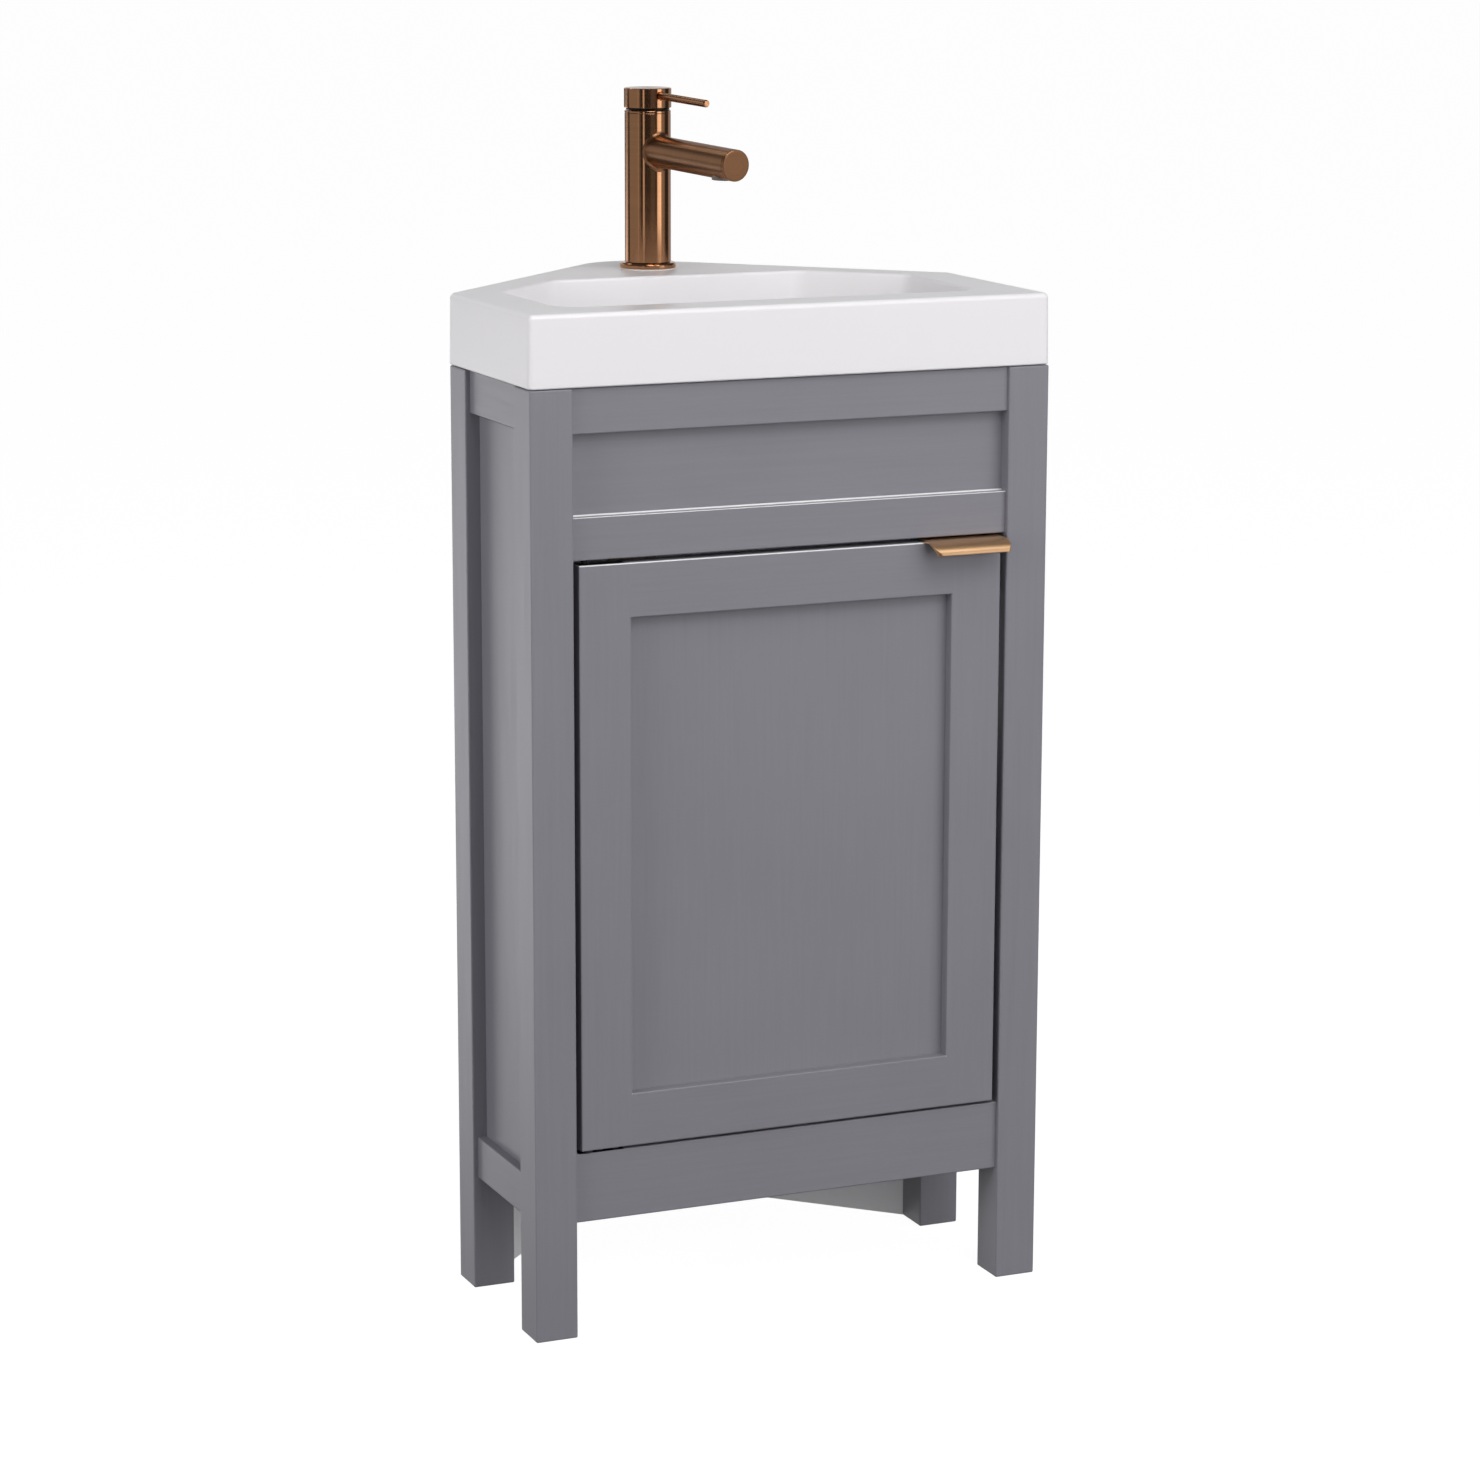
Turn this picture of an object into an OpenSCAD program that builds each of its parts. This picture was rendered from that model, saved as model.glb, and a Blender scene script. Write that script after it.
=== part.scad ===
// Corner vanity unit: framed corner cabinet, one door, ceramic basin, mixer tap.
// The plan is a "home plate": a front, two short sides square to it, and two
// long faces at 45 degrees that stand against the walls of a room corner.
// Millimetres, +Z up, floor at Z = 0, the front looks along -Y.

/* [Overall] */
// Width across the front legs
unit_w = 460; // [450:5:470]
// Depth of each short side, over its two legs
side_d = 187; // [185:1:190]
// Height of the cabinet under the basin
cab_h = 790; // [785:5:800]
// Height of the basin's rim above the floor
rim_z = 850; // [845:1:855]

/* [Frame] */
// Side of each square leg
leg = 36.5; // [36:0.5:37]
// Free leg height under the rails
leg_free = 98; // [90:1:100]
// Thickness of every rail
rail_t = 20; // [19:1:21]
// How far the rails stand back from the leg faces
rail_set = 4.5; // [4:0.5:5]
// The same for the top rail of the front
top_rail_set = 3.5; // [3:0.5:4]
// How far the flat panels stand back from the leg faces
panel_set = 12.5; // [12:0.5:13]
// Thickness of the flat panels
panel_t = 6; // [6:0.5:6.5]
// Depth of the grooves that hold the panels
groove = 6; // [5:0.5:6]
// Height of the bottom rail of the front
bottom_rail_h = 59; // [58:1:60]
// Underside of the middle rail of the front
mid_rail_z = 651; // [650:0.5:652]
// Height of the middle rail of the front
mid_rail_h = 35; // [34:1:35]
// Height of the top rail of the front
top_rail_h = 37; // [36:1:38]
// Height of the side rails
side_rail_h = 36; // [36:1:36]
// Thickness of the two back panels
back_t = 15; // [14:1:16]
// Thickness of the cabinet floor and of the shelf
board_t = 15; // [14:1:16]
// Height of the shelf's underside
shelf_z = 385; // [340:5:420]

/* [Door] */
// Gap at each side of the door
door_gap = 5; // [4.5:0.5:5]
// Gap over the door
door_gap_top = 3.5; // [3.5:0.5:4]
// Gap under the door
door_gap_bottom = 2.5; // [2.5:0.5:3]
// Thickness of the door frame
door_t = 20; // [19:0.5:20]
// How far the door stands back from the leg faces
door_set = 1.5; // [1:0.5:2]
// Width of the door's frame members
door_frame = 45; // [44:1:46]
// Depth of the door's recessed panel behind its frame
door_recess = 9.5; // [9:0.5:10]
// Length of the edge pull
pull_len = 71; // [68:1:74]
// How far the edge pull stands out in front of the legs
pull_out = 20; // [18:1:22]

/* [Basin] */
// Radius of the rounded rear corner of the basin
apex_r = 58; // [54:1:62]
// Thickness of the basin's deck
deck_t = 14; // [13:1:15]
// Depth of the bowl under the rim
bowl_depth = 100; // [96:1:102]
// Distance of the waste from the front
waste_y = 147; // [145:1:149]

/* [Tap] */
// Distance of the tap from the front
tap_y = 317; // [315:1:318]
// Angle by which the tap is turned from the front
tap_turn = 11; // [9:1:13]
// Height of the tap over the deck
tap_h = 156; // [154:1:158]
// Radius of the tap body
tap_r = 20; // [19.5:0.25:20]
// Height of the spout over the deck
spout_h = 103; // [102:1:104]
// Reach of the spout from the tap's axis
spout_reach = 136; // [132:1:140]
// Radius of the spout
spout_r = 13.5; // [13:0.25:13.5]
// Angle by which the spout and the lever drop outwards
tap_fall = 2.5; // [1.5:0.5:3]
// Reach of the lever from the tap's axis
lever_reach = 92; // [88:1:96]

/* [Hidden] */
$fn = 64;
hw = unit_w / 2;
hb = hw + 0.5;                      // half width of the basin
y_back = side_d + hb - apex_r * (sqrt(2) - 1);
y_mid = (y_back - pull_out) / 2;    // centre of the whole depth
basin_z = cab_h + 0.6;              // underside of the basin's skirt
seal_t = basin_z - cab_h;
rail_top = leg_free + bottom_rail_h;
floor_z = leg_free + side_rail_h;   // underside of the cabinet floor
top_rail_z = cab_h - top_rail_h;
front_panel_z0 = mid_rail_z + mid_rail_h;
door_x = hw - leg - door_gap;       // half width of the door
door_z0 = rail_top + door_gap_bottom;
door_z1 = mid_rail_z - door_gap_top;
door_y1 = door_set + door_t;        // back face of the door
door_py = door_set + door_recess;   // front of the door's panel
pivot_x = -door_x + 7;
pivot_y = door_set + 7;
pin_r = 2.5;
post_hw = 22;                       // half width of the rear post
post_y1 = side_d + hw - leg;        // back of the rear post
post_y0 = post_y1 - 28;
in_x = hw - panel_set - panel_t;    // inner face of the side panels
bowl_z = rim_z - bowl_depth;        // floor of the bowl
waste_r = 20.955;                   // tail of the waste, G 1 1/4
waste_shank_r = 21.3;               // shank of the waste, through the basin and the nut
body_top = rim_z + tap_h - 19;
cap_z0 = rim_z + tap_h - 17;
cap_z1 = rim_z + tap_h;
cap_r = tap_r + 0.5;
spout_z = rim_z + spout_h;
lever_z = cap_z0 + 10.7;
// The lever's tilt axis: behind the tap's axis, and its height
lift_y = 15.8;
lift_z = 992;
dowel_r = 4;

grey = [0.50, 0.50, 0.52];
board = [0.80, 0.80, 0.81];
white = [0.93, 0.93, 0.94];
bronze = [0.52, 0.35, 0.23];
steel = [0.72, 0.72, 0.74];
brass = [0.72, 0.58, 0.32];
wood = [0.76, 0.62, 0.44];
rubber = [0.10, 0.10, 0.10];

// ---- helpers ----------------------------------------------------------

// Moves a shape from the front-based frame to the part's own frame.
module place() { translate([0, -y_mid, 0]) children(); }

// A box from its lowest to its highest corner.
module bx(a, b) { translate(a) cube(b - a); }

function unit(v) = v / norm(v);

// Points of a round corner of radius r at p1, between p0 and p2.
function corner(p0, p1, p2, r, n) =
    let (a = unit(p0 - p1), b = unit(p2 - p1),
         h = acos(a * b) / 2, c = p1 + unit(a + b) * r / sin(h),
         s = p1 + a * r / tan(h) - c, e = p1 + b * r / tan(h) - c,
         a0 = atan2(s[1], s[0]), d = atan2(e[1], e[0]) - a0,
         dd = d > 180 ? d - 360 : (d < -180 ? d + 360 : d))
    [for (i = [0:n]) c + r * [cos(a0 + dd * i / n), sin(a0 + dd * i / n)]];

// A polygon with its corners rounded.
function rounded(p, r, n) = let (m = len(p))
    [for (i = [0:m - 1]) each corner(p[(i + m - 1) % m], p[i], p[(i + 1) % m], r[i], n)];

// A convex counter-clockwise polygon with every edge moved inwards by d.
function inset(p, d) = let (m = len(p))
    [for (i = [0:m - 1])
        let (u = unit(p[i] - p[(i + m - 1) % m]), v = unit(p[(i + 1) % m] - p[i]),
             n1 = [-u[1], u[0]], n2 = [-v[1], v[0]])
        p[i] + (n1 + n2) * d / (1 + n1 * n2)];

// Corner points of the basin's outside and of the bowl's mouth.
basin_pts = [[-hb, -0.5], [hb, -0.5], [hb, side_d], [0, side_d + hb], [-hb, side_d]];
bowl_pts = [[-hw + 43, 42], [hw - 43, 42], [hw - 43, 180], [hw - 114, 252],
            [-hw + 114, 252], [-hw + 43, 180]];

module basin_outline(d)
    polygon(rounded(inset(basin_pts, d), [max(5 - d, 1), max(5 - d, 1), max(6 - d, 1), apex_r - d, max(6 - d, 1)], 8));
module bowl_layer(z, d, r)
    translate([0, 0, z]) linear_extrude(0.01)
        polygon(rounded(inset(bowl_pts, d), [r, r, r, r, r, r], 6));

// A countersunk wood screw, head at the origin, shank along -Z.
module wood_screw(len, hr, r) {
    cylinder(h = hr - r, r1 = r, r2 = hr, center = false);
    translate([0, 0, -len]) cylinder(h = len, r = r);
}
// The same with its top at the origin.
module flush_screw(len, hr, r) translate([0, 0, r - hr]) wood_screw(len, hr, r);

// ---- joinery shared by several pieces -----------------------------------

// Dowels: [position of the joint face, axis letter]
function dowels_for(s) = [
    for (z = [top_rail_z + 12, top_rail_z + 27]) [[s * (hw - leg), top_rail_set + rail_t / 2, z], 0],
    for (z = [mid_rail_z + 9, mid_rail_z + 23]) [[s * (hw - leg), rail_set + rail_t / 2, z], 0],
    for (z = [leg_free + 14, leg_free + 45]) [[s * (hw - leg), rail_set + rail_t / 2, z], 0],
    for (y = [leg, side_d - leg], z = [leg_free + 9, leg_free + 22, cab_h - 22, cab_h - 8])
        [[s * (hw - rail_set - rail_t / 2), y, z], 1]
];
module dowel_set(r) {
    for (s = [-1, 1], d = dowels_for(s))
        translate(d[0]) rotate(d[1] == 0 ? [0, 90, 0] : [90, 0, 0])
            cylinder(h = 30 + 2 * (r - dowel_r), r = r, center = true, $fn = 32);
}
module dowel_holes() { dowel_set(dowel_r + 0.05); }

// Seats of the shelf pins: [x, y]
shelf_pin_pos = [for (s = [-1, 1], y = [31, side_d - 18]) [s * (hw - leg), y]];
module shelf_pin_holes() {
    for (p = shelf_pin_pos) translate([p[0], p[1], shelf_z - 2.5])
        rotate([0, 90, 0]) cylinder(h = 20.2, r = 2.55, center = true, $fn = 32);
}

// Space of the front panel and of one side panel, grooves included.
module front_panel_space()
    bx([-hw + leg - groove, panel_set, front_panel_z0 - groove],
       [hw - leg + groove, panel_set + panel_t, top_rail_z + groove]);
module side_panel_space(s) {
    x0 = s > 0 ? in_x : -hw + panel_set;
    bx([x0, leg - groove, floor_z - groove],
       [x0 + panel_t, side_d - leg + groove, cab_h - side_rail_h + groove]);
}

// Screws of the pivot plates, and the plates themselves.
frame_plate_x0 = pivot_x - 8.5;
door_plate_x0 = pivot_x - 6;
frame_screw_x = [frame_plate_x0 + 20, frame_plate_x0 + 34];
door_screw_x = [door_plate_x0 + 20, door_plate_x0 + 34];
module frame_pivot_screw_set() {
    for (x = frame_screw_x) {
        translate([x, pivot_y + 1.5, mid_rail_z]) rotate([180, 0, 0]) flush_screw(12, 2.9, 1.5);
        translate([x, pivot_y + 1.5, rail_top]) flush_screw(12, 2.9, 1.5);
    }
}
module door_pivot_screw_set() {
    for (x = door_screw_x) {
        translate([x, pivot_y, door_z1]) flush_screw(12, 2.9, 1.5);
        translate([x, pivot_y, door_z0]) rotate([180, 0, 0]) flush_screw(12, 2.9, 1.5);
    }
}
module frame_plate_space() {
    for (z = [mid_rail_z, rail_top - 2])
        bx([frame_plate_x0, pivot_y - 3.5, z], [frame_plate_x0 + 40, pivot_y + 6.5, z + 2]);
}
module door_plate_space() {
    for (z = [door_z1 - 2, door_z0])
        bx([door_plate_x0, pivot_y - 5, z], [door_plate_x0 + 40, pivot_y + 5, z + 2]);
    translate([pivot_x, pivot_y, door_z1 - 14]) cylinder(h = 14, r = 4.5);
    translate([pivot_x, pivot_y, door_z0]) cylinder(h = 14, r = 4.5);
}

// Magnetic catch: seat of its two screws, and of the plate it holds.
catch_z = [600, 646];
catch_plate_x = [door_x - 18, door_x - 3];
module catch_screw_set() {
    for (z = [catch_z[0] + 8, catch_z[1] - 8])
        translate([hw - leg - 12, door_y1 + 8, z]) rotate([0, -90, 0]) flush_screw(24, 2.9, 1.5);
}
module catch_plate_space()
    bx([catch_plate_x[0], door_y1 - 1, 604], [catch_plate_x[1], door_y1, 642]);

// Screws of the edge pull.
module pull_screw_set() {
    for (x = [door_x - pull_len + 9, door_x - 12])
        translate([x, 8.5, door_z1 + 2]) flush_screw(14, 3.1, 1.5);
}

// Frame of a back panel: origin at the rear leg's inner back corner,
// +X along the panel towards the apex, +Y outwards to the wall.
module at_back_left() translate([-hw + leg, side_d, 0]) rotate([0, 0, 45]) children();
module on_side(s) { if (s < 0) children(); else mirror([1, 0, 0]) children(); }
wall_plate_u = 96;   // distance of a wall plate's middle from the leg
wall_plate_z = 690;
// Window in each back panel, beside the rear post, for the waste and water pipes.
window_u = [118, 218];
window_z = [402, 582];
module wall_screw_hole() translate([wall_plate_u, 0, wall_plate_z])
    rotate([-90, 0, 0]) translate([0, 0, -10]) cylinder(h = 60, r = 3.25);
module wall_plate_screw_pair() for (u = [-22, 22])
    translate([wall_plate_u + u, -2, wall_plate_z]) rotate([90, 0, 0]) flush_screw(12, 2.9, 1.5);

// ---- cabinet frame ------------------------------------------------------

module leg_box(s, y0) {
    x0 = s < 0 ? -hw : hw - leg;
    bx([x0, y0, 0], [x0 + leg, y0 + leg, cab_h]);
}
module leg_front(s) color(grey) place() difference() {
    leg_box(s, 0);
    dowel_holes();
    shelf_pin_holes();
    front_panel_space();
    side_panel_space(s);
    if (s > 0) catch_screw_set();
}
module leg_rear(s) color(grey) place() difference() {
    leg_box(s, side_d - leg);
    dowel_holes();
    shelf_pin_holes();
    side_panel_space(s);
}
module leg_front_left() { leg_front(-1); }
module leg_front_right() { leg_front(1); }
module leg_rear_left() { leg_rear(-1); }
module leg_rear_right() { leg_rear(1); }

// Post behind the apex that joins the two back panels.
module rear_post() color(wood) place()
    bx([-post_hw, post_y0, 0], [post_hw, post_y1, cab_h]);

module front_top_rail() color(grey) place() difference() {
    bx([-hw + leg, top_rail_set, top_rail_z], [hw - leg, top_rail_set + rail_t, cab_h]);
    dowel_holes();
    front_panel_space();
}
module front_mid_rail() color(grey) place() difference() {
    bx([-hw + leg, rail_set, mid_rail_z], [hw - leg, rail_set + rail_t, front_panel_z0]);
    dowel_holes();
    front_panel_space();
    frame_plate_space();
    frame_pivot_screw_set();
}
module front_bottom_rail() color(grey) place() difference() {
    bx([-hw + leg, rail_set, leg_free], [hw - leg, rail_set + rail_t, rail_top]);
    dowel_holes();
    frame_plate_space();
    frame_pivot_screw_set();
}
module front_panel() color(grey) place() front_panel_space();

module side_rail(s, z) color(grey) place() difference() {
    x0 = s < 0 ? -hw + rail_set : hw - rail_set - rail_t;
    bx([x0, leg, z], [x0 + rail_t, side_d - leg, z + side_rail_h]);
    dowel_holes();
    side_panel_space(s);
}
module side_top_rail_left() { side_rail(-1, cab_h - side_rail_h); }
module side_top_rail_right() { side_rail(1, cab_h - side_rail_h); }
module side_bottom_rail_left() { side_rail(-1, leg_free); }
module side_bottom_rail_right() { side_rail(1, leg_free); }
module side_panel_left() color(grey) place() side_panel_space(-1);
module side_panel_right() color(grey) place() side_panel_space(1);

// Back panels stand at 45 degrees, on the floor, mitred to the rear legs.
module back_panel(s) color(board) place() on_side(s) difference() {
    linear_extrude(cab_h) polygon([
        [-hw + leg, side_d], [-post_hw, side_d + hw - leg - post_hw],
        [-post_hw, side_d + hw - leg - post_hw + back_t * sqrt(2)],
        [-hw + leg - back_t * sqrt(2), side_d]]);
    at_back_left() {
        wall_screw_hole();
        wall_plate_screw_pair();
        bx([window_u[0], -1, window_z[0]], [window_u[1], back_t + 1, window_z[1]]);
    }
}
module back_panel_left() { back_panel(-1); }
module back_panel_right() { back_panel(1); }

// Cabinet floor, cut round the legs and the rear post.
function half_board(g, yf, xf) = [
    [hw - leg - g, yf], [hw - leg - g, leg + g], [xf - g, leg + g], [xf - g, side_d - leg - g],
    [hw - leg - g, side_d - leg - g], [hw - leg - g, side_d]];
function mirrored(p) = [for (i = [len(p) - 1:-1:0]) [-p[i][0], p[i][1]]];
module cabinet_floor() color(board) place() translate([0, 0, floor_z]) linear_extrude(board_t)
    let (h = concat(half_board(0, rail_set + rail_t, in_x),
            [[post_hw, side_d + hw - leg - post_hw], [post_hw, post_y0]]))
    polygon(concat(h, mirrored(h)));

// Loose shelf, short of the rear corner so that the pipes pass behind it.
module shelf() color(board) place() translate([0, 0, shelf_z]) linear_extrude(board_t)
    let (h = concat(half_board(1, 26, in_x), [[hw - leg - 87, side_d + 84]]))
    polygon(concat(h, mirrored(h)));
module shelf_pins() color(steel) place() for (p = shelf_pin_pos) {
    s = p[0] < 0 ? -1 : 1;
    translate([p[0], p[1], shelf_z - 2.5]) rotate([0, -90 * s, 0]) {
        translate([0, 0, -10]) cylinder(h = 22, r = 2.5, $fn = 32);
        cylinder(h = 0.7, r = 3.9, $fn = 32);
    }
}

module frame_dowels() color(wood) place() dowel_set(dowel_r);

// Steel plates behind the wall screws.
module wall_plates() color(steel) place() for (s = [-1, 1]) on_side(s) at_back_left() difference() {
    bx([wall_plate_u - 32, -2, wall_plate_z - 14], [wall_plate_u + 32, 0, wall_plate_z + 14]);
    wall_screw_hole();
    wall_plate_screw_pair();
}
// Countersunk screws of the wall plates, the pivot plates and the catch.
module cabinet_screws() color(steel) place() {
    for (s = [-1, 1]) on_side(s) at_back_left() wall_plate_screw_pair();
    frame_pivot_screw_set();
    catch_screw_set();
}

// ---- basin and waste ----------------------------------------------------

module basin_seal() color(white) place() translate([0, 0, cab_h]) linear_extrude(seal_t)
    difference() { basin_outline(5.5); basin_outline(11); }

// Skirt, deck and bowl. The bowl hangs down between the rails.
module basin() color(white) place() difference() {
    union() {
        difference() {
            translate([0, 0, basin_z]) linear_extrude(rim_z - basin_z) basin_outline(0);
            translate([0, 0, basin_z - 1]) linear_extrude(rim_z - deck_t - basin_z + 1) basin_outline(12);
        }
        hull() {
            bowl_layer(rim_z - 6, -9, 26);
            bowl_layer(bowl_z + 8, 0, 30);
            bowl_layer(bowl_z - 12, 18, 40);
        }
    }
    hull() {
        bowl_layer(rim_z + 1, 0, 17);
        bowl_layer(bowl_z + 18, 9, 24);
        bowl_layer(bowl_z + 6, 14, 30);
        bowl_layer(bowl_z, 28, 34);
    }
    translate([0, waste_y, bowl_z - 2]) cylinder(h = 10, r = 32);
    translate([0, waste_y, bowl_z - 40]) cylinder(h = 60, r = 23);
    translate([0, tap_y, rim_z - 40]) cylinder(h = 60, r = 17.5);
}

module waste_body() color(bronze) place() translate([0, waste_y, 0]) rotate_extrude()
    polygon([[waste_r, bowl_z - 90], [waste_r, bowl_z - 28], [waste_shank_r, bowl_z - 28],
        [waste_shank_r, bowl_z - 2], [31.5, bowl_z - 2], [31.5, bowl_z - 0.6],
        [30.6, bowl_z + 0.2], [24, bowl_z + 0.2], [18.5, bowl_z - 3], [18.5, bowl_z - 90]]);
// Spider inside the waste that guides the plug's stem.
module waste_guide() color(brass) place() translate([0, waste_y, bowl_z - 34]) difference() {
    union() {
        cylinder(h = 10, r = 7);
        for (a = [0:120:240]) rotate([0, 0, a]) bx([0, -1.5, 0], [17.5, 1.5, 8]);
        difference() { cylinder(h = 8, r = 18.45); translate([0, 0, -1]) cylinder(h = 10, r = 16.5); }
    }
    translate([0, 0, -1]) cylinder(h = 12, r = 4.06);
}
module waste_washer() color(rubber) place() translate([0, waste_y, bowl_z - 17]) difference() {
    cylinder(h = 5, r = 33);
    translate([0, 0, -1]) cylinder(h = 7, r = waste_shank_r + 0.1);
}
module waste_nut() color(brass) place() translate([0, waste_y, bowl_z - 27]) difference() {
    union() {
        cylinder(h = 10, r = 32, $fn = 6);
        translate([0, 0, 7]) cylinder(h = 3, r = 32);
    }
    translate([0, 0, -1]) cylinder(h = 12, r = waste_shank_r + 0.05);
}
// Push plug: a domed cap over the waste, on a guided stem.
module waste_plug() color(bronze) place() translate([0, waste_y, bowl_z]) rotate_extrude()
    polygon(concat([[0, 0.8], [28.4, 0.8], [29.5, 1.8], [29.5, 3.2]],
        [for (i = [1:8]) [29 * cos(i * 11.25), 3.4 + 2.8 * sin(i * 11.25)]], [[0, 6.2]]));
module plug_stem() color(brass) place() translate([0, waste_y, bowl_z]) {
    translate([0, 0, -36]) cylinder(h = 36.8, r = 4);
    translate([0, 0, -3]) cylinder(h = 3.8, r = 14);
}

// ---- tap ------------------------------------------------------------------

module at_tap() place() translate([0, tap_y, 0]) rotate([0, 0, tap_turn]) children();
// Tips what points outwards down by the tap's fall, about a point of its middle plane.
module falling(y, z) translate([0, y, z]) rotate([tap_fall, 0, 0]) children();
module ring(z0, z1, ri, ro) translate([0, 0, z0]) difference() {
    cylinder(h = z1 - z0, r = ro);
    translate([0, 0, -1]) cylinder(h = z1 - z0 + 2, r = ri);
}

module tap_gasket() color(rubber) at_tap() ring(rim_z, rim_z + 0.8, 16.2, 23.6);
module tap_base_ring() color(bronze) at_tap() rotate_extrude() polygon([
    [16.2, rim_z + 0.8], [24.2, rim_z + 0.8], [24.5, rim_z + 1.1], [24.5, rim_z + 5.2],
    [23.9, rim_z + 5.8], [16.2, rim_z + 5.8]]);

inlet_x = 7.5;
module tap_inlets() for (s = [-1, 1]) translate([s * inlet_x, 4, 0]) {
    translate([0, 0, rim_z - 1]) cylinder(h = 15.8, r = 4.5);
    translate([0, 0, rim_z]) cylinder(h = spout_z - rim_z, r = 3.2);
}
module tap_body() color(bronze) at_tap() difference() {
    union() {
        translate([0, 0, rim_z + 5.8]) cylinder(h = body_top - rim_z - 5.8, r = tap_r);
        translate([0, 0, rim_z + 0.8]) cylinder(h = 7, r = 16);
    }
    translate([0, 0, spout_z - 3]) cylinder(h = 60, r = 15.2);
    falling(0, spout_z) rotate([90, 0, 0]) cylinder(h = 30, r = 9);
    tap_inlets();
    translate([0, -8.5, rim_z]) cylinder(h = 16, r = 4);
}
// Spout tube, saddle-cut to the body, closed at its end, outlet underneath.
module tap_spout() color(bronze) at_tap() difference() {
    falling(0, spout_z) rotate([90, 0, 0]) cylinder(h = spout_reach, r = spout_r);
    translate([0, 0, spout_z - 30]) cylinder(h = 60, r = tap_r);
    falling(0, spout_z) translate([0, -10, 0]) rotate([90, 0, 0]) cylinder(h = spout_reach - 23, r = 9);
    falling(0, spout_z) translate([0, -spout_reach + 20, -20]) cylinder(h = 20, r = 9);
}
// Flow straightener in the spout's underside.
module tap_aerator() color(steel) at_tap() falling(0, spout_z)
    translate([0, -spout_reach + 20, -spout_r - 0.4]) difference() {
        cylinder(h = 6.9, r = 8.95);
        translate([0, 0, -1]) cylinder(h = 2.2, r = 7.4);
        for (i = [-2:2], j = [-2:2]) if (abs(i + j) <= 2)
            translate([2.6 * (i + j / 2), 2.6 * j * sqrt(3) / 2, -1]) cylinder(h = 10, r = 0.8, $fn = 16);
    }
module tap_cartridge() color("ivory") at_tap() difference() {
    ring(spout_z - 2.8, body_top - 4, 3.6, 15.1);
    translate([0, 0, body_top - 14]) cylinder(h = 12, r = 9);
    for (s = [-1, 1]) translate([s * inlet_x, 4, spout_z - 4]) cylinder(h = 8, r = 3.2);
    falling(0, spout_z) rotate([90, 0, 0]) cylinder(h = 20, r = 5);
}
module cartridge_nut() color(brass) at_tap() ring(body_top - 4, body_top, 11.4, 15.1);
module tap_stud() color(steel) at_tap() translate([0, -8.5, rim_z - 60]) cylinder(h = 75.5, r = 4);
module horseshoe(z0, z1, ro) translate([0, 0, z0]) linear_extrude(z1 - z0) difference() {
    circle(r = ro);
    translate([0, 11]) square([27, 28], center = true);
    translate([0, -8.5]) circle(r = 4.2);
}
module tap_clamp_pad() color(rubber) at_tap() horseshoe(rim_z - deck_t - 3, rim_z - deck_t, 25);
module tap_clamp_washer() color(steel) at_tap() horseshoe(rim_z - deck_t - 5, rim_z - deck_t - 3, 24.5);
module tap_clamp_nut() color(steel) at_tap() translate([0, -8.5, rim_z - deck_t - 12]) difference() {
    cylinder(h = 7, r = 7.5, $fn = 6);
    translate([0, 0, -1]) cylinder(h = 9, r = 4.05);
}
// Cross pin at the back of the cap, on which the lever tilts.
module across(len, r) translate([-len / 2, lift_y, lift_z]) rotate([0, 90, 0]) cylinder(h = len, r = r);
// Turns with the lever on top of the cartridge and carries the cap's cross pin.
module lever_carrier() color(steel) at_tap() difference() {
    union() {
        translate([0, 0, body_top - 12]) cylinder(h = 15, r = 8.6);
        translate([0, 0, body_top - 3.5]) cylinder(h = 6, r = 11);
        intersection() {
            translate([0, 0, body_top + 0.35]) cylinder(h = 1.15, r = tap_r - 1.2);
            translate([-30, -30, 0]) cube([60, 39, 2000]);
        }
        translate([-2.6, 6, body_top + 0.4]) cube([5.2, 8.6, lift_z - body_top - 0.4]);
        across(5.2, 2.8);
    }
    across(8, 1.55);
}
module tap_cap() color(bronze) at_tap() difference() {
    union() {
        translate([0, 0, cap_z0]) cylinder(h = cap_z1 - cap_z0 - 0.8, r = cap_r);
        translate([0, 0, cap_z1 - 0.8]) cylinder(h = 0.8, r1 = cap_r, r2 = cap_r - 0.8);
    }
    translate([0, 0, cap_z0 - 1]) cylinder(h = 11, r = 15);
    falling(-cap_r, lever_z) translate([0, 8, 0]) rotate([90, 0, 0]) cylinder(h = 20, r = 3.2);
    translate([-3, 0, cap_z0 - 1]) cube([6, lift_y, 7]);
    across(6, 3.2);
    across(20, 1.5);
}
module lift_pin() color(steel) at_tap() across(20, 1.5);
module tap_lever() color(bronze) at_tap() falling(-cap_r, lever_z)
    translate([0, 5, 0]) rotate([90, 0, 0]) rotate_extrude() polygon([
        [0, 0], [3.2, 0], [3.2, lever_reach - 16.7], [2.9, lever_reach - 15.9],
        [2.2, lever_reach - 15.5], [0, lever_reach - 15.5]]);

// ---- door pivots and catch ------------------------------------------------

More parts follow.
